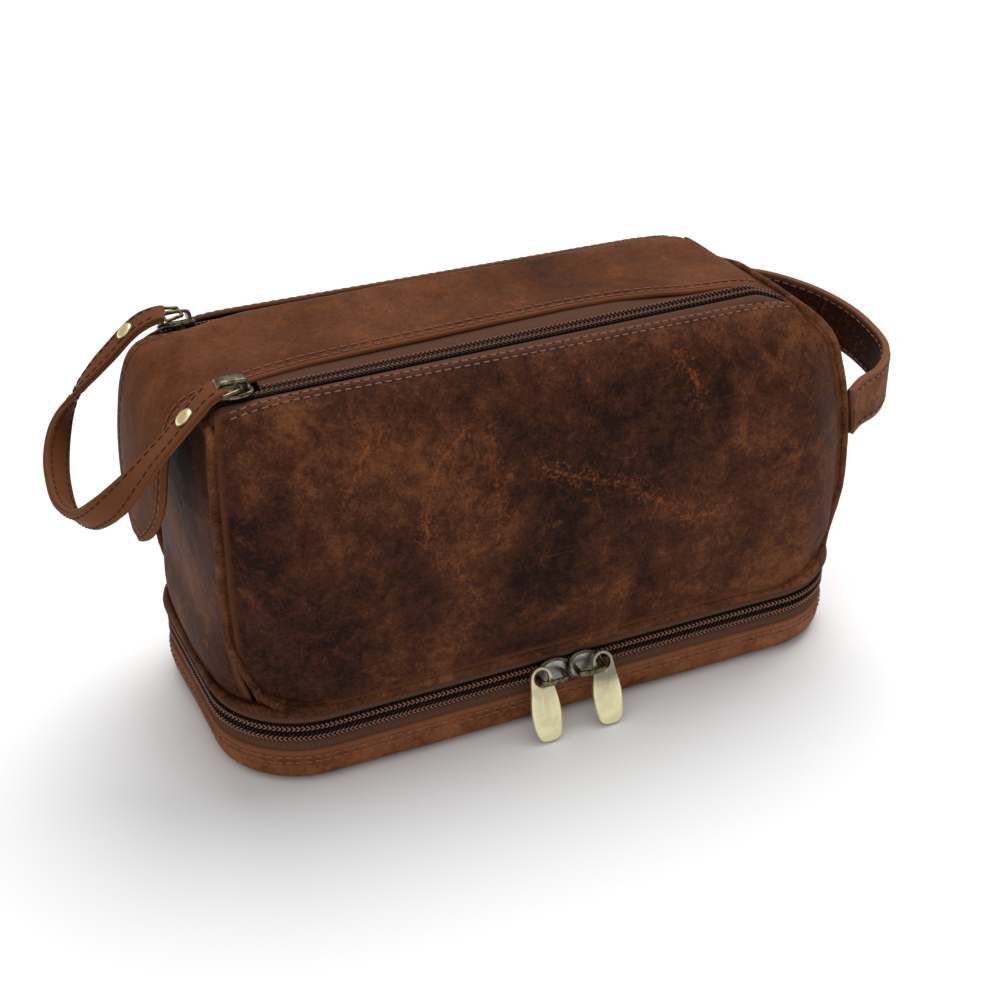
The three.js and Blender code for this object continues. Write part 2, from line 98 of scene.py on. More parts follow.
def smoothstep(x, low, high):
    t = np.clip((np.asarray(x, float) - low) / (high - low), 0, 1)
    return t * t * (3 - 2 * t)


def unit(v):
    return v / np.maximum(np.linalg.norm(v, axis=-1, keepdims=True), 1e-9)


def ripple(points, size, seed):
    """A smooth random field between about -1 and 1, with bumps of the given size."""
    rng = np.random.default_rng(seed)
    total = np.zeros(points.shape[:-1])
    for _ in range(7):
        wave = unit(rng.normal(size=3)) * 2 * math.pi / (size * rng.uniform(0.7, 1.9))
        total += np.sin(points @ wave + rng.uniform(0, 6.28))
    return total / 3.2


class Curve:
    """A centripetal Catmull-Rom curve through points; at(t) for t from 0 to 1."""

    def __init__(self, points, steps=40):
        p = np.array(points, float)
        p = np.vstack([2 * p[0] - p[1], p, 2 * p[-1] - p[-2]])
        gap = np.sqrt(np.linalg.norm(np.diff(p, axis=0), axis=1))
        t = np.linspace(0, 1, steps, endpoint=False)[:, None]
        rows = []
        for i in range(1, len(p) - 2):
            a, b, c, d = p[i - 1:i + 3]
            before, here, after = gap[i - 1:i + 2]
            leave = ((b - a) / before - (c - a) / (before + here) + (c - b) / here) * here
            arrive = ((c - b) / here - (d - b) / (here + after) + (d - c) / after) * here
            rows.append(b + leave * t + (3 * (c - b) - 2 * leave - arrive) * t**2
                        + (2 * (b - c) + leave + arrive) * t**3)
        self.table = np.vstack(rows + [p[-2:-1]])
        self.keys = np.linspace(0, 1, len(self.table))

    def at(self, t):
        return np.stack([np.interp(t, self.keys, self.table[:, k]) for k in range(3)], -1)

    def spaced(self, count):
        return resample(self.table, count)


def distances(path):
    return np.concatenate([[0], np.cumsum(np.linalg.norm(np.diff(path, axis=0), axis=1))])


def resample(path, count):
    """Evenly spaced points along a path; the path may carry extra columns."""
    length = distances(path[:, :3])
    where = np.linspace(0, length[-1], count)
    return np.stack([np.interp(where, length, path[:, k]) for k in range(path.shape[1])], -1)


def walk(path, pitch):
    """Rows of a path at the middles of equal steps close to the given pitch."""
    length = distances(path[:, :3])
    count = max(1, round(length[-1] / pitch))
    where = (np.arange(count) + 0.5) * length[-1] / count
    return np.stack([np.interp(where, length, path[:, k]) for k in range(path.shape[1])], -1)


def tangents(path, closed=False):
    if closed:
        return unit(np.roll(path, -1, axis=0) - np.roll(path, 1, axis=0))
    return unit(np.gradient(path, axis=0))


# ---- Building meshes: every builder returns (points, faces, values per point) ----
def grid_faces(rows, columns, wrap_rows=False, wrap_columns=False):
    i, j = np.meshgrid(np.arange(rows if wrap_rows else rows - 1),
                       np.arange(columns if wrap_columns else columns - 1), indexing="ij")
    below, beside = (i + 1) % rows, (j + 1) % columns
    quads = np.stack([i * columns + j, i * columns + beside,
                      below * columns + beside, below * columns + j], -1)
    return quads.reshape(-1, 4)


def tube_faces(rows, columns, closed=False):
    """Faces of a tube of loops, with flat ends unless it closes on itself."""
    faces = grid_faces(rows, columns, closed, True).tolist()
    if not closed:
        faces += [list(range(columns)), [(rows - 1) * columns + k for k in reversed(range(columns))]]
    return faces


def stops(count, length, edge):
    """Parameters from 0 to 1 with a few extra ones close to both ends."""
    near = np.array([0, 0.13, 0.35, 0.65, 1.0]) * edge / length
    margin = 1.6 * edge / length
    return np.concatenate([near, np.linspace(margin, 1 - margin, count), 1 - near[::-1]])


def sheet(surface, size, step, thickness, inside, relief=None, tone=None, scars=None, depth=0.0):
    """A sheet with rounded edges. surface(u, v) is its outer face, about size[0] by size[1],
    and depth moves the sheet inwards."""
    edge = thickness / 2
    u, v = (stops(int(s / step), s, edge) for s in size)
    u, v = np.meshgrid(u, v, indexing="ij")
    outer = surface(u, v)
    rows, columns = u.shape
    normal = unit(np.cross(np.gradient(outer, axis=0), np.gradient(outer, axis=1)))
    normal *= np.sign(np.sum(normal * (outer - inside), -1, keepdims=True))
    ways = []
    for axis in (0, 1):
        leg = np.linalg.norm(np.diff(outer, axis=axis), axis=-1)
        run = np.concatenate([np.zeros_like(np.take(leg, [0], axis)), np.cumsum(leg, axis)], axis)
        ways += [run, np.take(run, [-1], axis) - run]
    border = np.minimum.reduce(ways)
    drop = edge - np.sqrt(np.maximum(edge**2 - (edge - np.minimum(border, edge))**2, 0))
    raised = relief(outer, ways) if relief else np.zeros_like(border)
    raised = raised * np.minimum(border / edge, 1)
    front = outer + normal * (raised - drop - depth)[..., None]
    back = outer + normal * (raised + drop - thickness - depth)[..., None]
    points = np.vstack([front.reshape(-1, 3), back.reshape(-1, 3)])
    index = np.arange(rows * columns).reshape(rows, columns)
    far = index + rows * columns
    for line in (np.s_[0, :], np.s_[-1, :], np.s_[:, 0], np.s_[:, -1]):
        far[line] = index[line]
    faces = grid_faces(rows, columns)
    faces = np.vstack([faces, far.ravel()[faces[:, ::-1]]])
    values = {"border": np.tile(border.ravel(), 2)}
    if tone:
        values["tone"] = blobs(points, tone)
    if scars:
        values["scar"] = near_lines(points, scars)
    return points, faces, values


# Pairs of axes, to draw in a plane
XY, XZ, YZ = [0, 1], [0, 2], [1, 2]


def blobs(points, spots):
    """Sum of soft spots (first, second, radius, amount) in the plane that comes with them."""
    plane, spots = spots
    total = np.zeros(len(points))
    for first, second, radius, amount in spots:
        away = np.sum((points[:, plane] - (first, second))**2, axis=1)
        total += amount * np.exp(-away / (2 * radius**2))
    return total


def near_lines(points, lines):
    """Distance from the nearest of some lines in the plane that comes with them."""
    plane, lines = lines
    flat = points[:, plane]
    best = np.full(len(points), 60.0)
    for line in lines:
        for a, b in zip(np.array(line[:-1], float), np.array(line[1:], float)):
            share = np.clip((flat - a) @ (b - a) / np.sum((b - a)**2), 0, 1)
            best = np.minimum(best, np.linalg.norm(flat - a - share[:, None] * (b - a), axis=1))
    return best


def sweep(path, across, up, section, closed=False, border=None):
    """Carries a closed section of [across, up] points along a path; each way is one vector or a row
    of them."""
    section = np.array(section, float)
    if section.ndim == 2:
        section = np.broadcast_to(section, (len(path),) + section.shape)
    across, up = (np.broadcast_to(way, path.shape)[:, None] for way in (across, up))
    points = path[:, None] + across * section[..., :1] + up * section[..., 1:2]
    rows, columns = points.shape[:2]
    values = {"along": np.repeat(distances(path), columns), "side": section[..., 0].ravel().copy()}
    if border is not None:
        values["border"] = np.tile(border, rows)
    return points.reshape(-1, 3), tube_faces(rows, columns, closed), values


def strip(path, reference, section, closed=False, border=None):
    """A sweep whose width keeps close to a reference direction."""
    along = tangents(path, closed)
    across = unit(reference - along * np.sum(along * reference, -1, keepdims=True))
    return sweep(path, across, np.cross(along, across), section, closed, border)


def circle(radius, sides, flat=1.0):
    turn = 2 * math.pi * np.arange(sides) / sides
    return np.stack([radius * np.cos(turn), radius * flat * np.sin(turn)], -1)


def rounded(width, height, radius, steps=3):
    """A rounded rectangle section."""
    points = []
    for sx, sy, start in [(1, 1, 0), (-1, 1, 90), (-1, -1, 180), (1, -1, 270)]:
        for k in range(steps + 1):
            turn = math.radians(start + 90 * k / steps)
            points.append((sx * (width / 2 - radius) + radius * math.cos(turn),
                           sy * (height / 2 - radius) + radius * math.sin(turn)))
    return np.array(points)


def lathe(profile, sides=32):
    """Turns [radius, height] points about Z; the first and last may lie on the axis."""
    turn = 2 * math.pi * np.arange(sides) / sides
    r, z = np.array(profile, float).T
    points = np.stack([r[:, None] * np.cos(turn), r[:, None] * np.sin(turn),
                       np.broadcast_to(z[:, None], (len(r), sides))], -1)
    return points.reshape(-1, 3), tube_faces(len(r), sides), {}


def slab(outline, low, high, bevel):
    """A flat plate with bevelled edges from a star-shaped outline."""
    outline = np.array(outline, float)
    middle = outline.mean(0)
    reach = np.linalg.norm(outline - middle, axis=1, keepdims=True)
    small = bevel * 0.3
    layers = []
    for inset, z in [(bevel, low), (small, low + small), (0, low + bevel),
                     (0, high - bevel), (small, high - small), (bevel, high)]:
        flat = middle + (outline - middle) * (1 - inset / reach)
        layers.append(np.column_stack([flat, np.full(len(flat), z)]))
    return np.vstack(layers), tube_faces(len(layers), len(outline)), {}


def capsule(length, radius, sides=6):
    """A rounded rod along X."""
    half = length / 2 - radius
    profile = [(0.05, -half - radius), (0.7 * radius, -half - 0.7 * radius), (radius, -half),
               (radius, half), (0.7 * radius, half + 0.7 * radius), (0.05, half + radius)]
    points, faces, _ = lathe(profile, sides)
    return points[:, [2, 0, 1]], faces, {}


def turned(part, place=(0, 0, 0), axes=None):
    """A part with its X, Y and Z laid along the given directions."""
    points, faces, values = part
    matrix = np.eye(3) if axes is None else np.array(axes, float)
    return points @ matrix + np.array(place, float), faces, values


def repeat(part, places, axes):
    """Copies of a small part; axes holds its three directions at each place."""
    points, faces, _ = part
    spread = places[:, None] + np.einsum("pk,nkj->npj", points, axes)
    shift = np.arange(len(places)) * len(points)
    copies = []
    for size in sorted(set(map(len, faces))):
        some = np.array([f for f in faces if len(f) == size])
        copies += (some[None] + shift[:, None, None]).reshape(-1, size).tolist()
    return spread.reshape(-1, 3), copies, {}


# What a material reads where a builder gave no values
DEFAULTS = {"border": 60.0, "tone": 0.0, "scar": 60.0, "along": 0.0, "side": 0.0}


def make(name, look, body, parts, replaces=(), bend=None):
    """One mesh object from parts, with its material and the body that it rides on."""
    offset = 0
    faces = []
    for points, part_faces, _ in parts:
        part_faces = part_faces.tolist() if isinstance(part_faces, np.ndarray) else part_faces
        faces += [[k + offset for k in face] for face in part_faces]
        offset += len(points)
    mesh = bpy.data.meshes.new(name)
    mesh.from_pydata(np.vstack([part[0] for part in parts]) * MM, [], faces)
    for key, default in DEFAULTS.items():
        column = np.concatenate([part[2].get(key, np.full(len(part[0]), default)) for part in parts])
        mesh.attributes.new(key, "FLOAT", "POINT").data.foreach_set("value", column.astype(np.float32))
    work = bmesh.new()
    work.from_mesh(mesh)
    bmesh.ops.recalc_face_normals(work, faces=work.faces)
    work.to_mesh(mesh)
    work.free()
    mesh.polygons.foreach_set("use_smooth", np.ones(len(mesh.polygons), bool))
    if look in METALS:
        mesh.set_sharp_from_angle(angle=math.radians(32))
    obj = bpy.data.objects.new(name, mesh)
    bpy.context.scene.collection.objects.link(obj)
    material, slot = LOOKS[look]
    mesh.materials.append(material)
    if bend:
        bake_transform(obj)
    else:
        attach(obj, body)
    if replaces:
        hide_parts(*replaces)
    return obj


# ---- Shader tools ----
def add(tree, kind, inputs=None, **settings):
    node = tree.nodes.new("ShaderNode" + kind)
    for key, value in settings.items():
        setattr(node, key, value)
    for key, value in (inputs or {}).items():
        if isinstance(value, bpy.types.NodeSocket):
            tree.links.new(value, node.inputs[key])
        else:
            node.inputs[key].default_value = value
    return node


def math_node(tree, operation, a, b=0.0):
    return add(tree, "Math", {0: a, 1: b}, operation=operation).outputs[0]


def mix(tree, share, a, b, blend="MIX"):
    node = add(tree, "Mix", {0: share}, data_type="RGBA", blend_type=blend)
    for socket, value in ((node.inputs[6], a), (node.inputs[7], b)):
        if isinstance(value, bpy.types.NodeSocket):
            tree.links.new(value, socket)
        else:
            socket.default_value = (*value, 1)
    return node.outputs[2]


def ramp(tree, value, low, high, from_value=0.0, to_value=1.0):
    limits = {0: value, 1: low, 2: high, 3: from_value, 4: to_value}
    return add(tree, "MapRange", limits, clamp=True).outputs[0]


def plus(tree, total, value, factor=1.0):
    """total + factor * value"""
    return add(tree, "Math", {0: value, 1: factor, 2: total}, operation="MULTIPLY_ADD").outputs[0]


def crazed(tree, where, size, reach, wander, detail):
    """Distance to the edges of cells that are bent by up to about half the reach."""
    shift = add(tree, "TexNoise", {"Vector": where, "Scale": 1 / wander, "Detail": detail}).outputs[1]
    bent = {0: shift, 1: (reach, reach, reach), 2: where}
    place = add(tree, "VectorMath", bent, operation="MULTIPLY_ADD").outputs[0]
    cells = {"Vector": place, "Scale": 1 / size}
    return add(tree, "TexVoronoi", cells, feature="DISTANCE_TO_EDGE").outputs[0]


def times(tree, a, b):
    return math_node(tree, "MULTIPLY", a, b)


def larger(tree, a, b):
    return math_node(tree, "MAXIMUM", a, b)


def attribute(tree, name):
    return add(tree, "Attribute", attribute_name=name).outputs["Fac"]


def millimetres(tree, stretch=(1, 1, 1)):
    coordinates = add(tree, "TexCoord").outputs["Object"]
    return add(tree, "Mapping", {0: coordinates, 3: tuple(1000 * s for s in stretch)}).outputs[0]


def noise(tree, where, size, detail=3.0, rough=0.55, warp=0.0):
    return add(tree, "TexNoise", {"Vector": where, "Scale": 1 / size, "Detail": detail,
                                  "Roughness": rough, "Distortion": warp}).outputs[0]


def start_material(name):
    material = bpy.data.materials.new(name)
    material.use_nodes = True
    tree = material.node_tree
    return material, tree, tree.nodes["Principled BSDF"]


def finish_surface(tree, shader, colour, roughness, height, depth=1.0, level=0.5, metallic=0.0):
    """Fills the surface shader. Height is in millimetres."""
    for socket, value in (("Base Color", colour), ("Roughness", roughness)):
        if isinstance(value, bpy.types.NodeSocket):
            tree.links.new(value, shader.inputs[socket])
        else:
            shader.inputs[socket].default_value = value
    shader.inputs["Specular IOR Level"].default_value = level
    shader.inputs["Metallic"].default_value = metallic
    if height is not None:
        bump = add(tree, "Bump", {"Height": height, "Distance": MM, "Strength": depth})
        tree.links.new(bump.outputs[0], shader.inputs["Normal"])


# ---- Looks ----
def leather(name, dark, middle, light, edge, patch=0.7, mottle=1.0, grain=0.07, level=0.03, rough=0.55):
    """Waxed leather: large and small mottling, pale pull-up veins, worn edges and fine grain."""
    material, tree, shader = start_material(name)
    where = millimetres(tree)
    large = noise(tree, where, 34, 3, 0.55, 0.6)
    small = noise(tree, where, 8, 5, 0.62, 0.8)
    fibre = noise(tree, where, 2.6, 5, 0.72, 0.7)
    speck = noise(tree, where, 0.9, 4, 0.7, 0.3)
    amounts = ((large, 1.5 * patch), (small, 0.95 * mottle), (fibre, 0.8 * mottle), (speck, 0.8 * mottle))
    # The tone attribute shifts the mottling: random tone on the panels, painted light and shade on the
    # handle
    shade = plus(tree, 0.5 - 0.5 * sum(amount for _, amount in amounts), attribute(tree, "tone"))
    for pattern, amount in amounts:
        shade = plus(tree, shade, pattern, amount)
    low = mix(tree, ramp(tree, shade, 0.12, 0.5), dark, middle)
    colour = mix(tree, ramp(tree, shade, 0.5, 0.95), low, light)

    # Thin pale veins where the hide was creased
    cells = crazed(tree, where, 26, 24, 16, 3.0)
    vein = times(tree, ramp(tree, cells, 0.0, 0.02, 1.0, 0.0), ramp(tree, small, 0.5, 0.62))
    strokes = []
    for turn in (0.5, -0.7, 1.3):
        slanted = add(tree, "Mapping", {0: where, 2: (turn, turn, 0.3), 3: (0.12, 0.9, 1.6)}).outputs[0]
        strokes.append(ramp(tree, noise(tree, slanted, 1.1, 2, 0.5, 0.8), 0.68, 0.76))
    stroke = larger(tree, strokes[0], larger(tree, strokes[1], strokes[2]))

    # Nets of fine cracks, thick about the drawn scars and faint elsewhere
    scar = attribute(tree, "scar")
    crack = ramp(tree, crazed(tree, where, 4.2, 11, 5, 4.0), 0.0, 0.07, 1.0, 0.0)
    cluster = ramp(tree, plus(tree, plus(tree, -6.0, scar), small, 14), 1.0, 6.5, 1.0, 0.0)
    cluster = larger(tree, cluster, ramp(tree, large, 0.5, 0.62, 0.05, 0.3))
    core = ramp(tree, plus(tree, scar, small, 3.0), 1.6, 2.4, 0.8, 0.0)
    pale = larger(tree, times(tree, crack, cluster), core)
    pale = larger(tree, pale, times(tree, vein, 0.45))
    pale = times(tree, pale, ramp(tree, fibre, 0.38, 0.56))
    pale = larger(tree, pale, times(tree, stroke, 0.18))
    colour = mix(tree, pale, colour, (1.5 * light[0], 1.3 * light[1], light[2]))

    worn = ramp(tree, plus(tree, attribute(tree, "border"), small, 2.0), 1.2, 4.2, 0.85, 0.0)
    colour = mix(tree, worn, colour, edge)

    pores = add(tree, "TexVoronoi", {"Vector": where, "Scale": 1 / 0.85, "Randomness": 1.0}).outputs[0]
    fine = noise(tree, where, 0.5, 3, 0.6)
    height = plus(tree, times(tree, pores, grain), fine, grain)
    height = plus(tree, height, small, 0.35)
    height = plus(tree, height, pale, -0.12)
    roughness = ramp(tree, small, 0.3, 0.7, rough - 0.08, rough + 0.12)
    finish_surface(tree, shader, colour, roughness, height, 0.8, level)
    return material


def tape(name, base, shade):
    """Herringbone zip tape, from the distances along and across the strip."""
    material, tree, shader = start_material(name)
    side = attribute(tree, "side")
    zigzag = math_node(tree, "PINGPONG", side, 1.2)
    along = math_node(tree, "ADD", attribute(tree, "along"), zigzag)
    rib = math_node(tree, "SINE", times(tree, along, 2 * math.pi / 0.85))
    rib = ramp(tree, rib, -1.0, 1.0)
    fuzz = noise(tree, millimetres(tree), 0.35, 2)
    colour = mix(tree, rib, shade, base)
    colour = mix(tree, ramp(tree, fuzz, 0.35, 0.7, 0.0, 0.5), colour, shade)
    height = plus(tree, times(tree, rib, 0.16), fuzz, 0.08)
    finish_surface(tree, shader, colour, 0.9, height, 0.8, 0.05)
    return material


def cloth(name, base, shade, pitch=0.7):
    """Plain woven cloth."""
    material, tree, shader = start_material(name)
    where = millimetres(tree)
    split = add(tree, "SeparateXYZ", {0: where})
    waves = [times(tree, split.outputs[k], 2 * math.pi / pitch) for k in range(3)]
    rows = [math_node(tree, "SINE", wave) for wave in waves]
    weave = times(tree, math_node(tree, "ADD", rows[0], rows[1]), rows[2])
    weave = ramp(tree, weave, -1.4, 1.4)
    cloudy = noise(tree, where, 14, 4)
    colour = mix(tree, ramp(tree, plus(tree, cloudy, weave, 0.5), 0.4, 1.1), shade, base)
    finish_surface(tree, shader, colour, 0.85, times(tree, weave, 0.1), 0.7, 0.2)
    return material


def plain(name, base, shade, roughness, size=0.8, depth=0.05, level=0.5):
    """Thread, nylon and board: one colour with fine unevenness."""
    material, tree, shader = start_material(name)
    grit = noise(tree, millimetres(tree), size, 3)
    colour = mix(tree, ramp(tree, grit, 0.3, 0.7), shade, base)
    finish_surface(tree, shader, colour, roughness, times(tree, grit, depth), 0.8, level)
    return material


def metal(name, bright, dull, roughness, wear=6.0, age=0.0):
    """Plated metal with cloudy tarnish, more of it with age, and fine scratches."""
    material, tree, shader = start_material(name)
    cloud = noise(tree, millimetres(tree), wear, 5, 0.6, 0.5)
    speck = noise(tree, millimetres(tree), 0.7, 3, 0.6)
    scratch = noise(tree, millimetres(tree, (0.25, 3.0, 3.0)), 0.5, 2, 0.6)
    spots = plus(tree, plus(tree, age, cloud), speck, 0.25)
    tarnish = ramp(tree, plus(tree, spots, attribute(tree, "tone")), 0.55, 1.05)
    colour = mix(tree, tarnish, bright, dull)
    rough = plus(tree, ramp(tree, cloud, 0.3, 0.7, roughness - 0.05, roughness + 0.1), scratch, 0.08)
    height = plus(tree, times(tree, scratch, 0.03), speck, 0.02)
    finish_surface(tree, shader, colour, rough, height, 0.6, 0.5, 1.0)
    return material


DARK = dict(dark=(0.017, 0.0075, 0.006), middle=(0.062, 0.0215, 0.012), light=(0.170, 0.060, 0.024))
WARM = dict(dark=(0.038, 0.012, 0.005), middle=(0.096, 0.030, 0.011), light=(0.180, 0.062, 0.023))
TRAY = dict(dark=(0.062, 0.021, 0.009), middle=(0.205, 0.073, 0.030), light=(0.350, 0.140, 0.062))
HANDLE = dict(dark=(0.034, 0.012, 0.007), middle=(0.140, 0.052, 0.025), light=(0.290, 0.125, 0.063))
EDGE = dict(dark=(0.026, 0.009, 0.005), middle=(0.095, 0.034, 0.015), light=(0.220, 0.082, 0.036))


def thread(name, base, shade):
    return plain(name, base, shade, 0.8, 0.3, level=0.15)


LOOKS = {
    "panel": (leather("dark_leather", edge=(0.140, 0.051, 0.023), **DARK), "dark_leather"),
    "warm": (leather("warm_leather", edge=(0.150, 0.053, 0.022), patch=0.6, mottle=0.7, **WARM),
             "warm_leather"),
    "tray": (leather("tray_leather", edge=(0.210, 0.082, 0.040), mottle=0.8, **TRAY), "warm_leather"),
    "handle": (leather("handle_leather", edge=(0.200, 0.085, 0.043), mottle=0.8, **HANDLE), "warm_leather"),
    "edge": (leather("edge_leather", edge=(0.110, 0.043, 0.023), grain=0.22, **EDGE), "edge_leather"),
    "tape": (tape("zip_tape", (0.160, 0.076, 0.050), (0.070, 0.032, 0.021)), "zip_tape"),
    "coil": (plain("zip_coil", (0.014, 0.008, 0.006), (0.006, 0.004, 0.003), 0.4, level=0.15), "zip_coil"),
    "tick": (thread("coil_thread", (0.40, 0.19, 0.12), (0.25, 0.115, 0.07)), "zip_coil"),
    "top_tick": (thread("top_coil_thread", (0.27, 0.115, 0.068), (0.16, 0.066, 0.038)), "zip_coil"),
    "thread": (thread("seam_thread", (0.30, 0.14, 0.09), (0.19, 0.085, 0.055)), "warm_leather"),
    "quiet_thread": (thread("quiet_thread", (0.26, 0.112, 0.066), (0.17, 0.070, 0.040)), "warm_leather"),
    "dark_thread": (thread("dark_thread", (0.045, 0.020, 0.014), (0.02, 0.010, 0.007)), "warm_leather"),
    # Needle holes: tiny near-black caps, painted shade in place of the hollow of each hole
    "hole": (plain("needle_hole_shade", (0.008, 0.005, 0.004), (0.004, 0.003, 0.003), 0.9), "dark_leather"),
    "lining": (cloth("lining", (0.034, 0.026, 0.022), (0.014, 0.011, 0.010)), "lining"),
    "board": (plain("board", (0.075, 0.058, 0.044), (0.04, 0.03, 0.024), 0.85, 2.0, 0.2), "board"),
    "old_brass": (metal("old_brass", (0.46, 0.36, 0.19), (0.055, 0.042, 0.024), 0.24, 2.5, 0.32),
                  "old_brass"),
    "steel": (metal("slider_steel", (0.50, 0.49, 0.46), (0.15, 0.135, 0.11), 0.25, 4.0, 0.12),
              "slider_steel"),
    "pale_brass": (metal("pale_brass", (1.0, 0.93, 0.58), (0.40, 0.36, 0.27), 0.3, 12.0), "pale_brass"),
    "bright_brass": (metal("bright_brass", (1.0, 0.86, 0.46), (0.82, 0.64, 0.30), 0.26), "bright_brass"),
}
METALS = {"old_brass", "steel", "pale_brass", "bright_brass"}


# ---- Stitching and zip chain ----
def stitch_parts(path, up, pitch, length, radius=0.3):
    """Threads lying on a path, and between them tiny near-black caps: painted shade standing in for the
    needle holes.
    """
    rows = walk(np.hstack([path, up]), pitch)
    places, normals = rows[:, :3], unit(rows[:, 3:])
    along = tangents(places)
    across = unit(np.cross(normals, along))
    axes = np.stack([along, across, normals], 1)
    threads = repeat(capsule(length, radius), places + normals * 0.12, axes)
    # A small dome on the surface that takes the near-black colour: painted shade, not a real dimple
    pit = lathe([(0.01, 0.2), (0.36, 0.18), (0.5, 0.04), (0.5, -0.2)], 8)
    hole_shades = repeat(pit, places[:-1] / 2 + places[1:] / 2 + normals[:-1] * 0.06, axes[:-1])
    return threads, hole_shades


def stitch(name, body, rows, pitch, length, hole_shades=True, look="thread"):
    """Stitching along one or more (path, up) rows."""
    made = [stitch_parts(path, up, pitch, length) for path, up in rows]
    make(name + "_thread", look, body, [m[0] for m in made])
    # The near-black caps are painted shade for the needle holes
    if hole_shades:
        make(name + "_hole_shades", "hole", body, [m[1] for m in made])


COIL_CENTRE = 1.75
COIL_REACH = 1.6
COIL_HEIGHT = 0.55
COIL_WIRE = 0.42
TURN_STEPS = 12


def half_chain(name, body, path, across, up, phase, replaces, look="top_tick"):
    """One row of a coil zip: a flattened spiral and the chevrons of thread that hold it."""
    frame_rows = np.hstack([path, across, up])
    length = distances(path)
    turns = length[-1] / COIL_PITCH
    angle = np.linspace(0, turns, int(turns * TURN_STEPS))
    rows = np.stack([np.interp(angle * COIL_PITCH, length, frame_rows[:, k]) for k in range(9)], -1)
    spot, sideways, high = rows[:, :3], rows[:, 3:6], rows[:, 6:]
    swing = 2 * math.pi * (angle + phase)
    spiral = (spot + sideways * (COIL_CENTRE + COIL_REACH * np.cos(swing))[:, None]
              + high * (COIL_HEIGHT * np.sin(swing) - 1.0)[:, None])
    make(name, "coil", body, [strip(spiral, tangents(spot), circle(COIL_WIRE, 5))], replaces)

    arm = 0.45
    ticks = []
    for lean in (1, -1):
        direction = unit(np.array([0.95, 0.68 * lean, 0]))
        level = [-direction[1], direction[0], 0]
        rod = turned(capsule(1.75, 0.21, 5), (-0.1, 2.15 - lean * arm, 0.05), [direction, level, UP])
        places = walk(frame_rows, COIL_PITCH)
        along = np.cross(places[:, 3:6], places[:, 6:])
        ticks.append(repeat(rod, places[:, :3], np.stack([along, places[:, 3:6], places[:, 6:]], 1)))
    make(name + "_thread", look, body, ticks)


# ---- Tray outline ----
def outline(half_length=HALF_LENGTH, half_depth=HALF_DEPTH, corner=CORNER, rear=0.0, step=2.0, middle=0.0):
    """Points and outward normals round a rounded rectangle, from the rear by the left."""
    rows = [(middle - rear, half_depth, 0, 1)]
    for sx, sy, start in [(-1, 1, 90), (-1, -1, 180), (1, -1, 270), (1, 1, 0)]:
        for angle in np.radians(np.arange(start, start + 91, 5)):
            nx, ny = math.cos(angle), math.sin(angle)
            x = middle + sx * (half_length - corner) + corner * nx
            rows.append((x, sy * (half_depth - corner) + corner * ny, nx, ny))
    rows.append((middle + rear, half_depth, 0, 1))
    rows = np.array(rows)
    flat = np.column_stack([rows[:, 0], rows[:, 1], np.zeros(len(rows)), rows[:, 2:]])
    even = resample(flat, int(distances(flat[:, :3])[-1] / step))
    if rear == 0:
        even = even[:-1]
    return even[:, :3], unit(np.column_stack([even[:, 3:5], np.zeros(len(even))]))


def band(section, rear=0.0, step=2.0, wave=0.0, border=None):
    """A band round the tray from a closed section of [inset, z] points."""
    path, normal = outline(rear=rear, step=step)
    shape = np.array(section, float) * [-1, 1]
    points, faces, values = sweep(path, normal, UP, shape, rear == 0, border)
    if wave:
        out = np.repeat(normal, len(shape), axis=0)
        points = points + out * (ripple(points, 45, 4) * wave)[:, None]
    return points, faces, values


def ring_path(inset, z, rear=0.0):
    path, normal = outline(rear=rear)
    return path - normal * inset + UP * z, normal


def plate(inset, low, high, bevel=0.5):
    """A flat piece inside the tray outline."""
    path, normal = outline(step=4.0)
    return slab((path - normal * inset)[:, :2], low, high, bevel)


# ---- Tray ----
WALL_WAVE = 0.25
CHAIN_LIFT = 0.6              # the chain sits a touch above the middle of the gap
# Inset, height and distance from the nearest cut edge round the section of the wall
WALL = np.array([
    (0.9, 14.8, 0), (0.25, 14.6, 0.4), (-0.2, 14.1, 0.8), (-0.25, 13.4, 1.4), (-0.1, 12.8, 2),
    (0.08, 12.3, 2.6), (-0.05, 11.6, 3.4), (-0.02, 10.8, 4.2), (0.1, 10.1, 5), (0, 9, 6.2), (0.08, 7, 8),
    (0.45, 5, 10),
    (1.2, 3.2, 12), (2.6, 1.7, 14), (4.4, 0.75, 14), (6.4, 0.25, 12), (9.4, 0.02, 10), (9.4, 1.8, 60),
    (5.2, 2.3, 60), (2.9, 4.2, 60), (1.8, 7.6, 60), (1.8, 14.2, 2), (1.5, 14.7, 0.5)])
wall = band(WALL[:, :2], wave=WALL_WAVE, border=WALL[:, 2])
make("tray_wall_leather", "tray", "tray", [wall], ["tray_wall"])
make("tray_base_leather", "tray", "tray", [plate(9.3, 0.0, LEATHER)], ["tray_base"])
make("tray_board_card", "board", "tray", [plate(10.5, 2.2, 3.6)], ["tray_board"])
TRAY_LINING = [(4, 4.4), (4.3, 4), (30, 3.9), (60, 3.85), (60, 4.3), (30, 4.35), (4.9, 4.6), (4.6, 5.2),
               (4.7, 10), (4.6, 15.3), (4.3, 15.6), (4, 15.3), (4.1, 10)]
make("tray_lining_cloth", "lining", "tray", [band(TRAY_LINING, wave=0.1, step=3.0)], ["tray_lining"])
rows = []
for z in (12.3, 10.1):
    path, normal = ring_path(-0.12, z)
    rows.append((path + normal * (WALL_WAVE * ripple(path, 45, 4))[:, None], normal))
stitch("tray_wall_seam", "tray", rows, 3.5, 2.4, hole_shades=False)

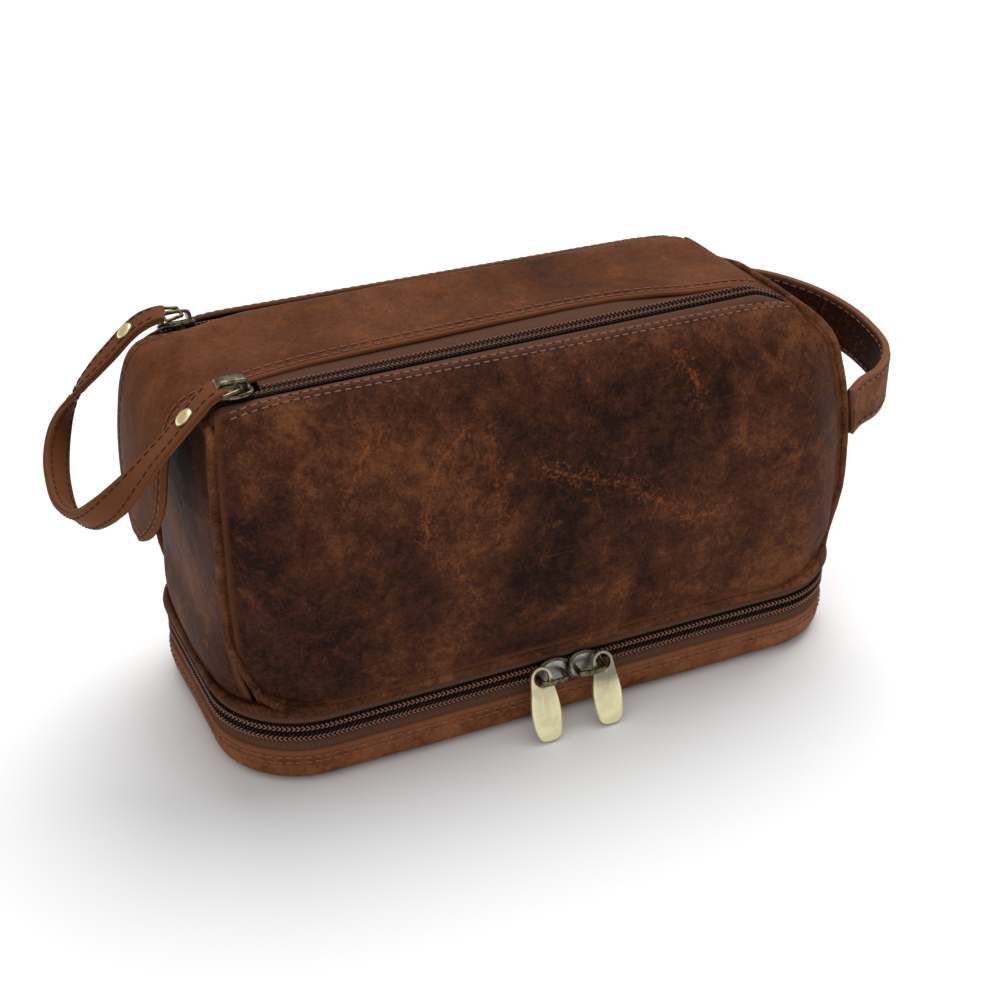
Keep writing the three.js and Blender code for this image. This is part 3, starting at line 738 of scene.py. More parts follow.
for side, body, node in [(-1, "tray", "tray"), (1, "upper_bag", "bag")]:
    path, normal = ring_path(0.0, TRAY_ZIP_Z + CHAIN_LIFT, ZIP_END)
    sideways = np.broadcast_to(UP * side, path.shape)
    phase = 0.25 * (1 + side)
    half_chain(node + "_coil_row", body, path, sideways, normal, phase, [node + "_zip_coil"], "tick")
TRAY_TAPE = [(2.1, 9), (1.6, 13), (0.5, 15), (0.3, 17), (0.9, 18.6), (2.0, 19.2), (2.0, 22.2), (2.6, 22.2),
             (2.6, 9)]
UPPER_TAPE = [(2.1, 31.5), (1.0, 29.8), (0.4, 28.4), (0.4, 27.4), (0.9, 26.5), (2.0, 26), (2.0, 23),
              (2.6, 23), (2.6, 31.5)]
make("tray_tape_weave", "tape", "tray", [band(TRAY_TAPE, ZIP_END)], ["tray_zip_tape"])
make("bag_tape_weave", "tape", "upper_bag", [band(UPPER_TAPE, ZIP_END)], ["bag_zip_tape"])


def hinge_surface(u, v):
    x = (2 * u - 1) * (ZIP_END - 1.5)
    z = 10 + 18.2 * v
    return np.stack([x, HALF_DEPTH - 2.2 + 0.25 * np.sin(z * 0.55), z], -1)


hinge = sheet(hinge_surface, (157, 18.2), 2.2, 1.4, np.array([0, 0, 20.0]))
make("rear_hinge_leather", "tray", None, [hinge], ["rear_hinge_strip"],
     bend=("tray", "upper_bag", (0, HALF_DEPTH * MM, 0.017), (0, HALF_DEPTH * MM, 0.027)))

# ---- Upper bag ----
middle_curve = Curve([(0, 60.6, UPPER_BOTTOM), (0, 62.4, 50), (0, 62.9, 75), (0, 62, 100), (0, 59.5, 119),
                      (0, 54.3, 134), (0, 47, 143.6), (0, 39.5, 148.4)])
left_seam = Curve([(-119.6, 48, UPPER_BOTTOM), (-124.6, 46.6, 50), (-126.4, 46, 75), (-126.4, 46, 100),
                   (-126.4, 46, 117), (-126.2, 46, 129.5), (-125.4, 44.8, 138.8), (-123.5, 39.5, 144.8)])
right_seam = Curve([(120.2, 48, UPPER_BOTTOM), (125, 46.6, 50), (126.6, 46, 75), (124.4, 46, 100),
                    (120.2, 46, 117), (115, 46, 130), (106, 45.4, 140), (100.5, 39.5, 144.6)])
ROLL_START = 0.74
SEAM_MARGIN = 0.993
PANEL_TOP = 0.981             # the leather stops here and shows a little of the zip tape
REAR_DROP = 2.9               # the rear zip lies lower and leans back
REAR_LEAN = math.radians(20)


def panel_surface(side):
    def point(across, up):
        u = 2 * across - 1
        reach = np.abs(u) * SEAM_MARGIN
        up = up * PANEL_TOP
        middle = middle_curve.at(up)
        seam = np.where((u < 0)[..., None], left_seam.at(up), right_seam.at(up))
        roll = (np.maximum(0, reach - ROLL_START) / (1 - ROLL_START))**2
        height = lerp(middle[..., 2], seam[..., 2], roll)
        if side > 0:
            height = height - REAR_DROP * smoothstep(up, 0.72, 1)
        return np.stack([seam[..., 0] * reach, side * lerp(middle[..., 1], seam[..., 1], roll), height], -1)
    return point


PANEL_ROWS = (1.5, 3.8)


def panel_relief(outer, ways):
    """A folded top edge, dips under the two stitch rows, and slow waves in the hide."""
    from_top, from_left, from_right = ways[3], ways[0], ways[1]
    fold = 0.3 * smoothstep(from_top, 5.5, 3.4)
    dips = sum(-0.2 * np.exp(-((from_top - d) / 0.6)**2) for d in PANEL_ROWS)
    seams = -0.5 * smoothstep(np.minimum(from_left, from_right), 5, 1.5)
    waves = 0.35 * ripple(outer, 60, 7) + 0.12 * ripple(outer, 17, 8)
    return fold + dips + seams + waves * smoothstep(from_top, 4, 14)


FRONT_TONE = XZ, [(15, 88, 30, -0.10), (-7, 120, 16, -0.10), (62, 125, 13, -0.10), (-58, 51, 18, -0.12),
                  (-6, 53, 16, -0.16), (-106, 52, 16, -0.16), (-109, 124, 12, -0.06),
                  (-126, 102, 14, -0.20), (-101, 144, 9, 0.05), (86, 144, 16, 0.16), (86, 47, 16, 0.14),
                  (106, 99, 18, 0.02), (-49, 125, 16, 0.04), (36, 69, 10, 0.10), (20, 84, 22, -0.02)]
FRONT_SCARS = XZ, [[(-31, 129), (-33, 120), (-31, 110), (-30, 97), (-31, 86)],
                   [(-13, 110), (1, 103), (14, 99), (26, 95)], [(44, 140), (51, 129), (50, 119)],
                   [(26, 92), (35, 86), (48, 74), (63, 77)], [(-85, 115), (-80, 125), (-75, 130)],
                   [(-41, 128), (-52, 119), (-58, 101), (-57, 90)], [(-49, 82), (-38, 62)]]


def surface_row(surface, inside, across, from_top, span=(0.0, 1.0)):
    """A path and its normals on a surface, a fixed distance below its upper edge."""
    u = np.linspace(*span, across)
    v = np.linspace(0.6, 1, 160)
    grid = surface(*np.meshgrid(u, v, indexing="ij"))
    leg = np.linalg.norm(np.diff(grid, axis=1), axis=-1)
    left = np.concatenate([np.cumsum(leg[:, ::-1], 1)[:, ::-1], np.zeros((len(u), 1))], 1)
    pick = np.array([np.interp(-from_top, -left[i], v) for i in range(len(u))])
    here = surface(u, pick)
    normal = unit(np.cross(surface(np.minimum(u + 1e-3, 1), pick) - surface(u - 1e-3, pick),
                           surface(u, pick) - surface(u, pick - 1e-3)))
    normal *= np.sign(np.sum(normal * (here - inside), -1, keepdims=True))
    return here, normal


for side, word, *marks in ((-1, "front", FRONT_TONE, FRONT_SCARS), (1, "back")):
    surface = panel_surface(side)
    made = sheet(surface, (252, 128), 1.4, LEATHER, BAG_CENTRE, panel_relief, *marks)
    make(word + "_panel_leather", "panel", "upper_bag", [made], [word + "_panel"])
    rows = [surface_row(surface, BAG_CENTRE, 300, d, (0.02, 0.98)) for d in PANEL_ROWS]
    stitch(word + "_top_seam", "upper_bag", rows, 3.6, 2.3)

END_SIDE_GAP = 1.6


def end_surface(seam, last):
    def point(u, v):
        edge = seam.at(v * last)
        step = seam.at(np.minimum(v * last + 0.01, 1)) - seam.at(np.maximum(v * last - 0.01, 0))
        outward = unit(np.stack([step[..., 2], np.zeros(v.shape), -step[..., 0]], -1))
        outward *= np.sign(outward[..., :1] * edge[..., :1])
        outward[..., 2] = np.maximum(outward[..., 2], 0)
        outward = unit(outward)
        low = smoothstep(edge[..., 2], UPPER_BOTTOM, 62)
        high = smoothstep(edge[..., 2], 110, 144)
        bulge = lerp(lerp(10, 3.4, low), 0.4, high)
        y = (edge[..., 1] - END_SIDE_GAP) * (2 * u - 1)
        fall = 1 - np.abs(y / edge[..., 1])**4
        return np.stack([edge[..., 0], y, edge[..., 2]], -1) + outward * (bulge * fall - 0.6)[..., None]
    return point


def end_relief(outer, ways):
    beside = np.minimum(ways[0], ways[1])
    return 0.3 * ripple(outer, 40, 17) + 0.1 * ripple(outer, 14, 18) - 0.3 * smoothstep(beside, 4, 1)


END_TONE = YZ, [(0, 60, 24, 0.14), (10, 118, 20, -0.08)]
ENDS = [("left", left_seam, 0.86, BAG_CENTRE), ("right", right_seam, 0.93, np.array([60, 0, 80.0]))]
for word, seam, last, inside in ENDS:
    made = sheet(end_surface(seam, last), (90, 112), 2.2, LEATHER, inside, end_relief, END_TONE)
    make(word + "_end_leather", "panel", "upper_bag", [made], [word + "_end_panel"])

PIPING = 1.5
REAR_EAR = 2.2                # how far the piping's rear corner sinks below the front one


# The front ends of the piping turn along the bottom of the panel and run out in the welt
PIPING_FOOT = [(97, 60.6, 32.6), (105, 59.4, 33.2), (112.5, 56.2, 34.6), (117.6, 52, 38), (120.6, 49, 43)]


def piping_path(seam, last, top_x, top_z):
    share = np.linspace(0, last, 40)
    side = seam.at(share)
    side = side + np.stack([np.sign(side[:, 0]) * 0.7, 0 * share + 0.6, 0 * share], -1)
    side[0, 2] += 1.2
    front = side * [1, -1, 1]
    drop = REAR_DROP + REAR_EAR
    rear = side - UP * (drop * smoothstep(share, 0.66, 0.95))[:, None]
    over = [[top_x, y, top_z - drop * float(smoothstep(y, -5, 30))] for y in (-30, -15, 0, 15, 30)]
    foot = np.array(PIPING_FOOT) * [np.sign(top_x), -1, 1]
    return Curve(np.vstack([foot, front[9::3], over, rear[::-3]])).spaced(300)


PIPINGS = [("left", left_seam, 0.86, -124.8, 141.2), ("right", right_seam, 0.95, 102.6, 144)]
for word, *shape in PIPINGS:
    path = piping_path(*shape)
    lumps = 1 + 0.035 * ripple(path, 4, 21) + 0.03 * ripple(path, 11, 22)
    section = circle(PIPING, 14)[None] * lumps[:, None, None]
    outward = unit(path - BAG_CENTRE)
    cord = strip(path, outward, section)
    flange = strip(path - outward * 1.6, outward, rounded(2.4, 1.4, 0.3, 2))
    make(word + "_piping_cord", "edge", "upper_bag", [cord, flange], [word + "_piping"])

# Welt between the tray zip and the upper bag, with the butt seam in its cover
welt_path, welt_normal = ring_path(0.2, WELT_Z + 1.4)
butt_seam = np.exp(-((welt_path[:, 0] - 24.3) / 0.5)**2) * (welt_path[:, 1] < 0)
welt_lumps = 1 + 0.03 * ripple(welt_path, 6, 31) - 0.16 * butt_seam
welt_section = circle(1.0, 14)[None] * [1.6, 1.9] * welt_lumps[:, None, None]
welt = sweep(welt_path, welt_normal, UP, welt_section, True)
welt_flange = band([(0.8, 31.0), (0.8, 32.2), (5.2, 32.5), (5.2, 31.0)])
make("lower_welt_cord", "edge", "upper_bag", [welt, welt_flange], ["lower_welt"])
make("compartment_floor_card", "board", "upper_bag", [plate(5, 31, 32.6)], ["compartment_floor"])

LINING_LEVELS = [(-121, 121, 55, 33.4), (-122, 121, 57.4, 60), (-122, 119, 57, 90), (-122, 113, 54.5, 112),
                 (-121, 104, 49.5, 128), (-119, 96, 44, 138)]
LINING_SIDES = 160


def lining_loop(left, right, half_depth, z, inset):
    half = (right - left) / 2
    path = outline(half - inset, half_depth - inset, 30, middle=(left + right) / 2, step=4.0)[0]
    loop = resample(np.vstack([path, path[:1]]), LINING_SIDES + 1)[:-1]
    return loop + UP * z


levels = np.array(LINING_LEVELS, float)
heights = np.linspace(0, len(levels) - 1, 30)
dense = np.stack([np.interp(heights, np.arange(len(levels)), levels[:, k]) for k in range(4)], -1)
outer_loops = np.array([lining_loop(*row, 0.0) for row in dense])
inner_loops = np.array([lining_loop(*row, 0.7) for row in dense[::-1]])
floor_loops = np.array([lining_loop(*dense[0], inset) + UP * 0.7 for inset in (8, 30, 50)])
under_loops = np.array([lining_loop(*dense[0], inset) for inset in (50, 30, 8)])
loops = np.concatenate([under_loops, outer_loops, inner_loops, floor_loops])
folds = ripple(loops, 26, 41)[..., None] * np.array([0.35, 0.35, 0]) * (loops[..., 2:] > 36)
tub = (loops + folds).reshape(-1, 3), tube_faces(len(loops), LINING_SIDES), {}
make("upper_lining_cloth", "lining", "upper_bag", [tub], ["upper_lining"])


# ---- Top zips ----
def zip_lift(x):
    fall = ZIP_FALL * np.maximum(0, ZIP_DIP_FROM - x) / (ZIP_DIP_FROM - TOP_ZIP_LEFT)
    return -fall - ZIP_DIP_DEPTH * smoothstep(x, ZIP_DIP_FROM, ZIP_DIP_TO)


def zip_line(side, start, end):
    """Path, sideways direction away from the flap, and up direction of one top zip."""
    x = np.arange(start, end + 0.01, 1.0)
    drop, lean = (REAR_DROP, REAR_LEAN) if side > 0 else (0, 0.0)
    over_the_end = 0.3 * np.maximum(0, TOP_ZIP_LEFT - x)**1.5
    height = TOP_ZIP_Z + zip_lift(x) - drop - over_the_end
    path = np.stack([x, np.full(len(x), side * float(TOP_ZIP_Y)), height], -1)
    outward = np.broadcast_to(np.array([0, side * math.cos(lean), -math.sin(lean)]), path.shape)
    up = np.broadcast_to(np.array([0, side * math.sin(lean), math.cos(lean)]), path.shape)
    return path, outward, up


BAG_TAPE = [(0.4, -2.1), (3.6, -2.1), (4.1, -1.2), (5.2, -1.3), (7.6, -2.9), (7.6, -3.5), (5.2, -2.0),
            (4.1, -2.7), (0.4, -2.7)]
FLAP_TAPE = [(-0.4, -2.1), (-3.6, -2.1), (-4.1, -1.2), (-7, -1.2), (-9, -1.4), (-12, -1.8), (-12, -2.4),
             (-9, -2.0), (-7, -1.8), (-4.1, -2.7), (-0.4, -2.7)]
FLAP_TAPE_RISE = [0, 0, 0, 0.4, 1.3, 2.2, 2.2, 1.3, 0.4, 0, 0]   # under the flap's domed middle
END_TAPE = [(-0.4, -2.1), (-3.6, -2.1), (-4.1, -1.2), (-6.5, -1.2), (-6.5, -1.8), (-4.1, -2.7),
            (-0.4, -2.7)]
TAPE_END = -125
for side, word in ((-1, "front"), (1, "rear")):
    weave = sweep(*zip_line(side, TAPE_END, TOP_ZIP_RIGHT), BAG_TAPE)
    make(word + "_tape_weave", "tape", "upper_bag", [weave], [word + "_zip_tape"])
    path, outward, up = zip_line(side, TOP_ZIP_LEFT, TOP_ZIP_RIGHT)
    half_chain(word + "_coil_row", "upper_bag", path, outward, up, 0.0, [word + "_zip_coil"])
    path, outward, up = zip_line(side, FLAP_ZIP_LEFT, FLAP_ZIP_RIGHT)
    rise = smoothstep(-path[:, 0], -66, -30)[:, None] * FLAP_TAPE_RISE
    weave = sweep(path, outward, up, np.array(FLAP_TAPE) + np.stack([0 * rise, rise], -1))
    make(f"flap_{word}_tape_weave", "tape", "flap", [weave], [f"flap_{word}_tape"])
    half_chain(f"flap_{word}_coil_row", "flap", path, -outward, up, 0.5, [f"flap_{word}_coil"])
    # Past the flap's hinge the inner row stays with the bag
    path, outward, up = zip_line(side, FLAP_ZIP_RIGHT + 1, TOP_ZIP_RIGHT)
    half_chain(word + "_end_row", "upper_bag", path, -outward, up, 0.5, [])
    make(word + "_end_tape", "tape", "upper_bag", [sweep(path, outward, up, END_TAPE)])

# ---- Flap, with a tongue that hangs over the left end ----
FLAP_WIDTHS = [(-150, 30.8), (-136, 30.8), (-120, 28.8), (-100, 26.2), (-85, 25), (-40, 24.2), (-10, 23.2),
               (15, 22.6), (35, 23.4), (52, 25.5), (62, 27.6), (75, 28.6), (98, 28.6)]
flap_line = Curve([(103.2, 0, 142.6), (97, 0, 146.8), (90, 0, 149.4), (60, 0, 151.5), (0, 0, 152),
                   (-60, 0, 151.8), (-100, 0, 151), (-114, 0, 150.3), (-123, 0, 148.8), (-130, 0, 145.6),
                   (-135.6, 0, 139.8), (-139.2, 0, 131), (-141.6, 0, 118), (-143.2, 0, 103), (-144, 0, 92),
                   (-144.4, 0, 82.2)])
flap_path = flap_line.spaced(700)


def flap_half(p):
    x, z = p[..., 0], p[..., 2]
    upper = np.interp(x, *np.array(FLAP_WIDTHS).T)
    t = np.clip((114 - z) / 33, 0, 1)
    return np.where(x > -138, upper, 30.8 * (1 - t * t)**0.8)


FLAP_DOME = 4.8                # rise of the padded flap, a little behind its middle


def flap_surface(inset=0.0, start=0.0, end=1.0):
    keys = np.linspace(0, 1, len(flap_path))

    def point(u, v):
        p = np.stack([np.interp(lerp(start, end, u), keys, flap_path[:, k]) for k in range(3)], -1)
        half = np.maximum(flap_half(p) - inset, 0.6)
        y = half * (2 * v - 1)
        droop = 1 + 0.75 * -zip_lift(np.minimum(p[..., 0], ZIP_DIP_FROM))
        flat_part = smoothstep(p[..., 0], -128, -96) * smoothstep(-p[..., 0], -97, -80)
        dome = FLAP_DOME * np.exp(-((y - 12) / 11)**2) - REAR_DROP * np.maximum(y / half, 0)**4
        crown = droop * (y / 25.5)**2 - dome * flat_part
        crown = crown + 3 * smoothstep(p[..., 0], 70, 98) * np.maximum(y / half, 0)**2
        return np.stack([p[..., 0] + crown * 0.4 * smoothstep(-p[..., 0], 118, 138), y,
                         p[..., 2] - crown * smoothstep(p[..., 0], -138, -118)], -1)
    return point


FLAP_ROWS = (2.5, 5.2)


def flap_relief(outer, ways):
    beside = np.minimum(ways[2], ways[3])
    beside = np.minimum(beside, ways[1])
    fold = 0.25 * smoothstep(beside, 3.0, 1.8)
    dips = sum(-0.2 * np.exp(-((beside - d) / 0.6)**2) for d in FLAP_ROWS)
    waves = 0.3 * ripple(outer, 38, 51) + 0.1 * ripple(outer, 12, 52)
    return fold + dips + waves * smoothstep(beside, 5, 14)


FLAP_TONE = XY, [(-110, 5, 20, 0.16), (-10, 0, 26, -0.05), (75, 0, 18, 0.12), (25, 8, 12, -0.1),
                 (-55, -8, 14, 0.06)]
flap = sheet(flap_surface(), (305, 54), 1.6, 1.6, UNDER_FLAP, flap_relief, FLAP_TONE)
make("top_flap_leather", "warm", None, [flap], ["top_flap"],
     bend=("upper_bag", "flap", (0.1015, 0, 0.1435), (0.0955, 0, 0.1475)))


def lining_relief(outer, ways):
    return 0.15 * ripple(outer, 20, 55)


lining = sheet(flap_surface(3, 0.04, 0.97), (290, 50), 3.0, 0.6, UNDER_FLAP, lining_relief, depth=2.4)
make("flap_lining_cloth", "lining", "flap", [lining], ["flap_lining"])


def flap_rows(inset):
    """Paths along both edges and round the tongue, a fixed distance inside the edge."""
    u = np.linspace(0.032, 0.985, 900)
    surface = flap_surface(inset)
    front, near_front, near_rear, rear = (surface(u, np.full(len(u), v)) for v in (0.0, 0.04, 0.96, 1.0))
    path = np.vstack([front, rear[::-1]])
    around = np.vstack([near_front - front, (near_rear - rear)[::-1]])
    normal = unit(np.cross(tangents(path), around))
    normal *= np.sign(np.sum(normal * (path - UNDER_FLAP), -1, keepdims=True))
    return path, normal


seams = [flap_rows(inset) for inset in FLAP_ROWS]
stitch("flap_edge_seam", "flap", seams, 4.0, 2.8, hole_shades=False, look="quiet_thread")


# ---- Zip sliders ----
def slider_parts(half_width, nose, tail, legs, arch_width, arch_rise):
    """A slider in its own frame: chain along X, outer face towards +Z, nose at -X."""
    turn = np.linspace(0, 2 * math.pi, 48, endpoint=False)
    reach = np.where(np.cos(turn) > 0, tail, -nose)
    square = 2.6
    outline_x = reach * np.sign(np.cos(turn)) * np.abs(np.cos(turn))**(2 / square)
    outline_y = half_width * np.sign(np.sin(turn)) * np.abs(np.sin(turn))**(2 / square)
    outline_y = outline_y * (1 - 0.22 * smoothstep(-outline_x, 0, -nose))
    shell = np.column_stack([outline_x, outline_y])
    upper = slab(shell, 0.5, 1.8, 0.45)
    rim = np.column_stack([shell, np.full(len(shell), 1.75)]) * [0.9, 0.9, 1]
    rim_cord = strip(rim, UP, circle(0.42, 8), True)
    post = slab([(0, -0.35), (3, -0.35), (3, 0.35), (0, 0.35)], -4.2, 0.8, 0.1)
    inner = slab(shell * [0.72, 0.62], -4.9, -3.8, 0.3)
    bar = 1.3
    centre = 1.7 + arch_rise - bar / 2
    leg = [(0, 1.2), (0, 2.2), (0, centre - 1.5), (0.5, centre - 0.35), (1.7, centre)]
    low, high = ([(end + way * x, 0, z) for x, z in leg] for end, way in zip(legs, (1, -1)))
    arch = Curve(low + high[::-1]).spaced(40)
    bridge = strip(arch, np.array([0, 1.0, 0]), rounded(arch_width, bar, 0.4))
    return upper, rim_cord, post, inner, bridge


TOP_SLIDER = (5.4, -7.0, 7.0, (-5.2, 5.0), 5.0, 4.6)
TRAY_SLIDER = (6.2, -8.0, 6.0, (-PULL_OFFSET, 3.6), 2.2, 6.4)
for side, word in ((-1, "front"), (1, "rear")):
    spot, outward, up = (rows[0] for rows in zip_line(side, TOP_SLIDER_X, TOP_SLIDER_X + 1))
    axes = [(1, 0, 0), np.cross(up, (1, 0, 0)), up]
    parts = [turned(part, spot, axes) for part in slider_parts(*TOP_SLIDER)]
    make(f"top_{word}_slider_body", "old_brass", "top_sliders", parts, [f"top_{word}_slider"])
for word, way in (("left", 1), ("right", -1)):
    axes = [(way, 0, 0), (0, 0, way), (0, -1, 0)]
    place = (TRAY_SLIDERS[word], -HALF_DEPTH, TRAY_ZIP_Z)
    upper, rim, post, inner, bridge = [turned(part, place, axes) for part in slider_parts(*TRAY_SLIDER)]
    make(word + "_slider_body", "steel", word + "_tray_slider", [upper, post, inner], [word + "_slider"])
    make(word + "_slider_bridge", "old_brass", word + "_tray_slider", [bridge, rim])


# ---- Pulls: a barrel outline with an eye at the top ----
PULL_EYE = 4.4
PULL_HOLE = 3.1
PULL_DROP = 24.0
PULL_END = 3.2


def pull_outline(count):
    """Outer edge of a pull seen from the eye's centre, by direction."""
    side = Curve([(PULL_EYE, 0, 0), (4.9, -4, 0), (5.7, -9, 0), (6.0, -14, 0), (5.5, -19, 0),
                  (4.5, -22.6, 0), (PULL_END, -PULL_DROP, 0)], 30).table
    x = np.linspace(PULL_END, -PULL_END, 12)
    foot = np.stack([x, -PULL_DROP - 0.5 * (1 - (x / PULL_END)**2), 0 * x], -1)
    turn = np.linspace(math.pi, 0, 40)
    arc = PULL_EYE * np.stack([np.cos(turn), np.sin(turn), 0 * turn], -1)
    loop = np.vstack([side, foot[1:-1], (side * [-1, 1, 1])[::-1], arc[1:-1], side[:1]])
    return resample(loop, count + 1)[:-1, :2]


# Rings of a pull from its hole (0) to its outer edge (1), each with its height
PULL_FRONT = [(0, 0.0), (0, 0.55), (0.03, 0.9), (0.12, 1.0), (0.3, 1.0), (0.5, 1.0), (0.7, 1.0),
              (0.84, 0.95), (0.94, 0.75), (0.985, 0.45), (1, 0.0)]
PULL_BACK = [(1, -0.5), (0.975, -0.85), (0.9, -1.0), (0.5, -1.0), (0.1, -1.0), (0.03, -0.9), (0, -0.55)]


def pull_part(fade):
    """The whole pull; it darkens above the height given by fade."""
    count = 120
    outer = pull_outline(count)
    angle = np.arctan2(outer[:, 1], outer[:, 0])
    hole = PULL_HOLE * np.column_stack([np.cos(angle), np.sin(angle)])
    rings = []
    for share, height in PULL_FRONT:
        flat = hole + (outer - hole) * share
        body = smoothstep(-flat[:, 1], PULL_HOLE, PULL_HOLE + 4)
        ridge = body * (1.5 * np.sqrt(np.maximum(0, 1 - (flat[:, 0] / 6.2)**2)) - 0.75) * (height > 0.9)
        ridge += body * 0.25 * (np.abs(flat[:, 0]) < 1.6) * (height > 0.9)
        rings.append(np.column_stack([flat, height + ridge]))
    for share, height in PULL_BACK:
        rings.append(np.column_stack([hole + (outer - hole) * share, np.full(count, height)]))
    points = np.vstack(rings)
    tone = 0.45 * smoothstep(points[:, 1], fade, fade + 9) - 0.1
    return points, grid_faces(len(rings), count, True, True), {"tone": tone}


tilt = math.pi / 2 - PULL_TILT
pull_axes = [(1, 0, 0), (0, math.cos(tilt), math.sin(tilt)), (0, -math.sin(tilt), math.cos(tilt))]
for word, way, fade in (("left", -1, -4), ("right", 1, -13)):
    place = (TRAY_SLIDERS[word] + way * PULL_OFFSET, PULL_PIVOT_Y, PULL_PIVOT_Z)
    tab = turned(pull_part(fade), place, pull_axes)
    make(word + "_pull_tab", "pale_brass", word + "_tray_pull", [tab], [word + "_pull"])

# ---- Strap loop with its links and rivets ----
STRAP_WIDTH = 10.6
STRAP_THICKNESS = 2.6
STRAP_STEPS = 300
LINK_NEAR = 3.7
LINK_FAR = 6.6
WIRE = 0.68
HALF_STRAP = [(-124.4, 36, 148.6), (-127.5, 37.4, 146.6), (-131.5, 38.2, 143.4), (-137.3, 38.6, 138),
              (-143.7, 38.8, 132.2), (-150, 38.7, 126), (-156, 36.6, 119.2), (-161, 31.6, 112.8),
              (-165, 22.5, 106), (-167, 11, 102)]
half = np.array(HALF_STRAP)
strap_points = np.vstack([half * [1, -1, 1], [(-167.7, 0, 100.6)], half[::-1]])
strap_curve = Curve(strap_points)


def edge_groove(width, half, depth):
    """The groove between the two layers in the right edge of a strip."""
    return [(width / 2, -half), (width / 2 - depth, 0), (width / 2, half)]


def opposite(points):
    return [(-x, -y) for x, y in points]


def strap_frame(share):
    """Width direction of the strap at a share of its length."""
    turn = smoothstep(1 - np.abs(2 * share - 1), 0.25, 0.85)[:, None]
    start = np.where(share[:, None] <= 0.5, 1, -1) * np.array([0, 1.0, 0])
    return unit(lerp(start, np.array([-0.72, 0, 0.69]), turn))


nose = np.array([(-117.9, -34.0, 150.4), (-121.0, -34.9, 149.9)])
strap_long = Curve(np.vstack([nose, strap_points, nose[::-1] * [1, -1, 1]])).spaced(STRAP_STEPS)
share = np.linspace(0, 1, STRAP_STEPS)
ends = np.minimum(distances(strap_long), distances(strap_long)[-1] - distances(strap_long))
layers = rounded(STRAP_WIDTH, STRAP_THICKNESS, 0.55)
groove = edge_groove(STRAP_WIDTH, 0.25, 0.45)
strap_section = np.vstack([groove, layers[:8], opposite(groove), layers[8:]])
rounding = np.sqrt(np.clip(1 - (1 - np.minimum(ends / 1.3, 1))**2, 0.01, 1))
sections = strap_section[None] * np.stack([np.ones(STRAP_STEPS), rounding], -1)[:, None]
strap_border = STRAP_WIDTH / 2 - np.abs(strap_section[:, 0])
strap_piece = strip(strap_long, strap_frame(share), sections, border=strap_border)
strap = make("pull_strap_leather", "warm", "strap_loop", [strap_piece], ["pull_strap"])
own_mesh(strap)


def ribbon_rows(path, wide, offset, lift, first, last):
    """A path along a strip, moved sideways in its own plane and raised off its face."""
    along = tangents(path)
    across = unit(wide - along * np.sum(along * wide, -1, keepdims=True))
    face = np.cross(along, across)
    return (path + across * offset + face * lift)[first:last], (face * np.sign(lift))[first:last]


for offset, word in ((STRAP_WIDTH / 2 - 1.9, "lower"), (1.9 - STRAP_WIDTH / 2, "upper")):
    rows = []
    for lift in (STRAP_THICKNESS / 2, -STRAP_THICKNESS / 2):
        rows.append(ribbon_rows(strap_long, strap_frame(share), offset, lift, 6, STRAP_STEPS - 6))
    threads = [stitch_parts(path, up, 3.4, 2.3, 0.24)[0] for path, up in rows]
    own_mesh(make(f"strap_{word}_seam", "dark_thread", "strap_loop", threads))

RIVET_SHARE = 0.05
RIVET_DOME = [(0.02, 1.0), (1.2, 0.97), (2.2, 0.82), (2.9, 0.55), (3.3, 0.2), (3.3, 0), (3.0, -0.15),
              (0.02, -0.15)]
RIVET_COLLAR = [(0.02, 0.12), (3.75, 0.1), (3.85, 0), (3.8, -0.15), (0.02, -0.15)]
spaced = strap_curve.spaced(401)
for word, part in (("front", RIVET_SHARE), ("rear", 1 - RIVET_SHARE)):
    row = round(part * (len(spaced) - 1))
    along = unit(spaced[row + 1] - spaced[row - 1])
    up = np.array([-along[2], 0, along[0]])
    up = unit(up * np.sign(up[2]))
    across = np.cross(up, along)
    axes = [unit(np.cross(across, up)), unit(across), up]
    place = spaced[row] + up * (STRAP_THICKNESS / 2 + 0.25)
    for name, look, profile, replaces in (("_rivet_cap", "bright_brass", RIVET_DOME, [word + "_rivet"]),
                                          ("_rivet_collar", "old_brass", RIVET_COLLAR, [])):
        cap = make(word + name, look, "strap_loop", [turned(lathe(profile, 40), place, axes)], replaces)
        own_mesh(cap)

LINK_HALF = [(LINK_PIVOT_X, LINK_NEAR), (LINK_PIVOT_X - 1, LINK_NEAR + 0.5), (-116.5, 5.4),
             (LINK_LEFT + 0.7, LINK_FAR - 0.2), (LINK_LEFT, LINK_FAR - 0.9)]
for side, word in ((-1, "front"), (1, "rear")):
    y = side * TOP_ZIP_Y
    ring = [(x, y + reach, LINK_Z) for x, reach in LINK_HALF]
    ring += [(x, y - reach, LINK_Z) for x, reach in reversed(LINK_HALF)]
    ring = resample(np.array(ring + ring[:1]), 90)[:-1]
    wire = strip(ring, UP, circle(WIRE, 10), True)
    make(word + "_link_wire", "old_brass", "strap_loop", [wire], [word + "_link"])

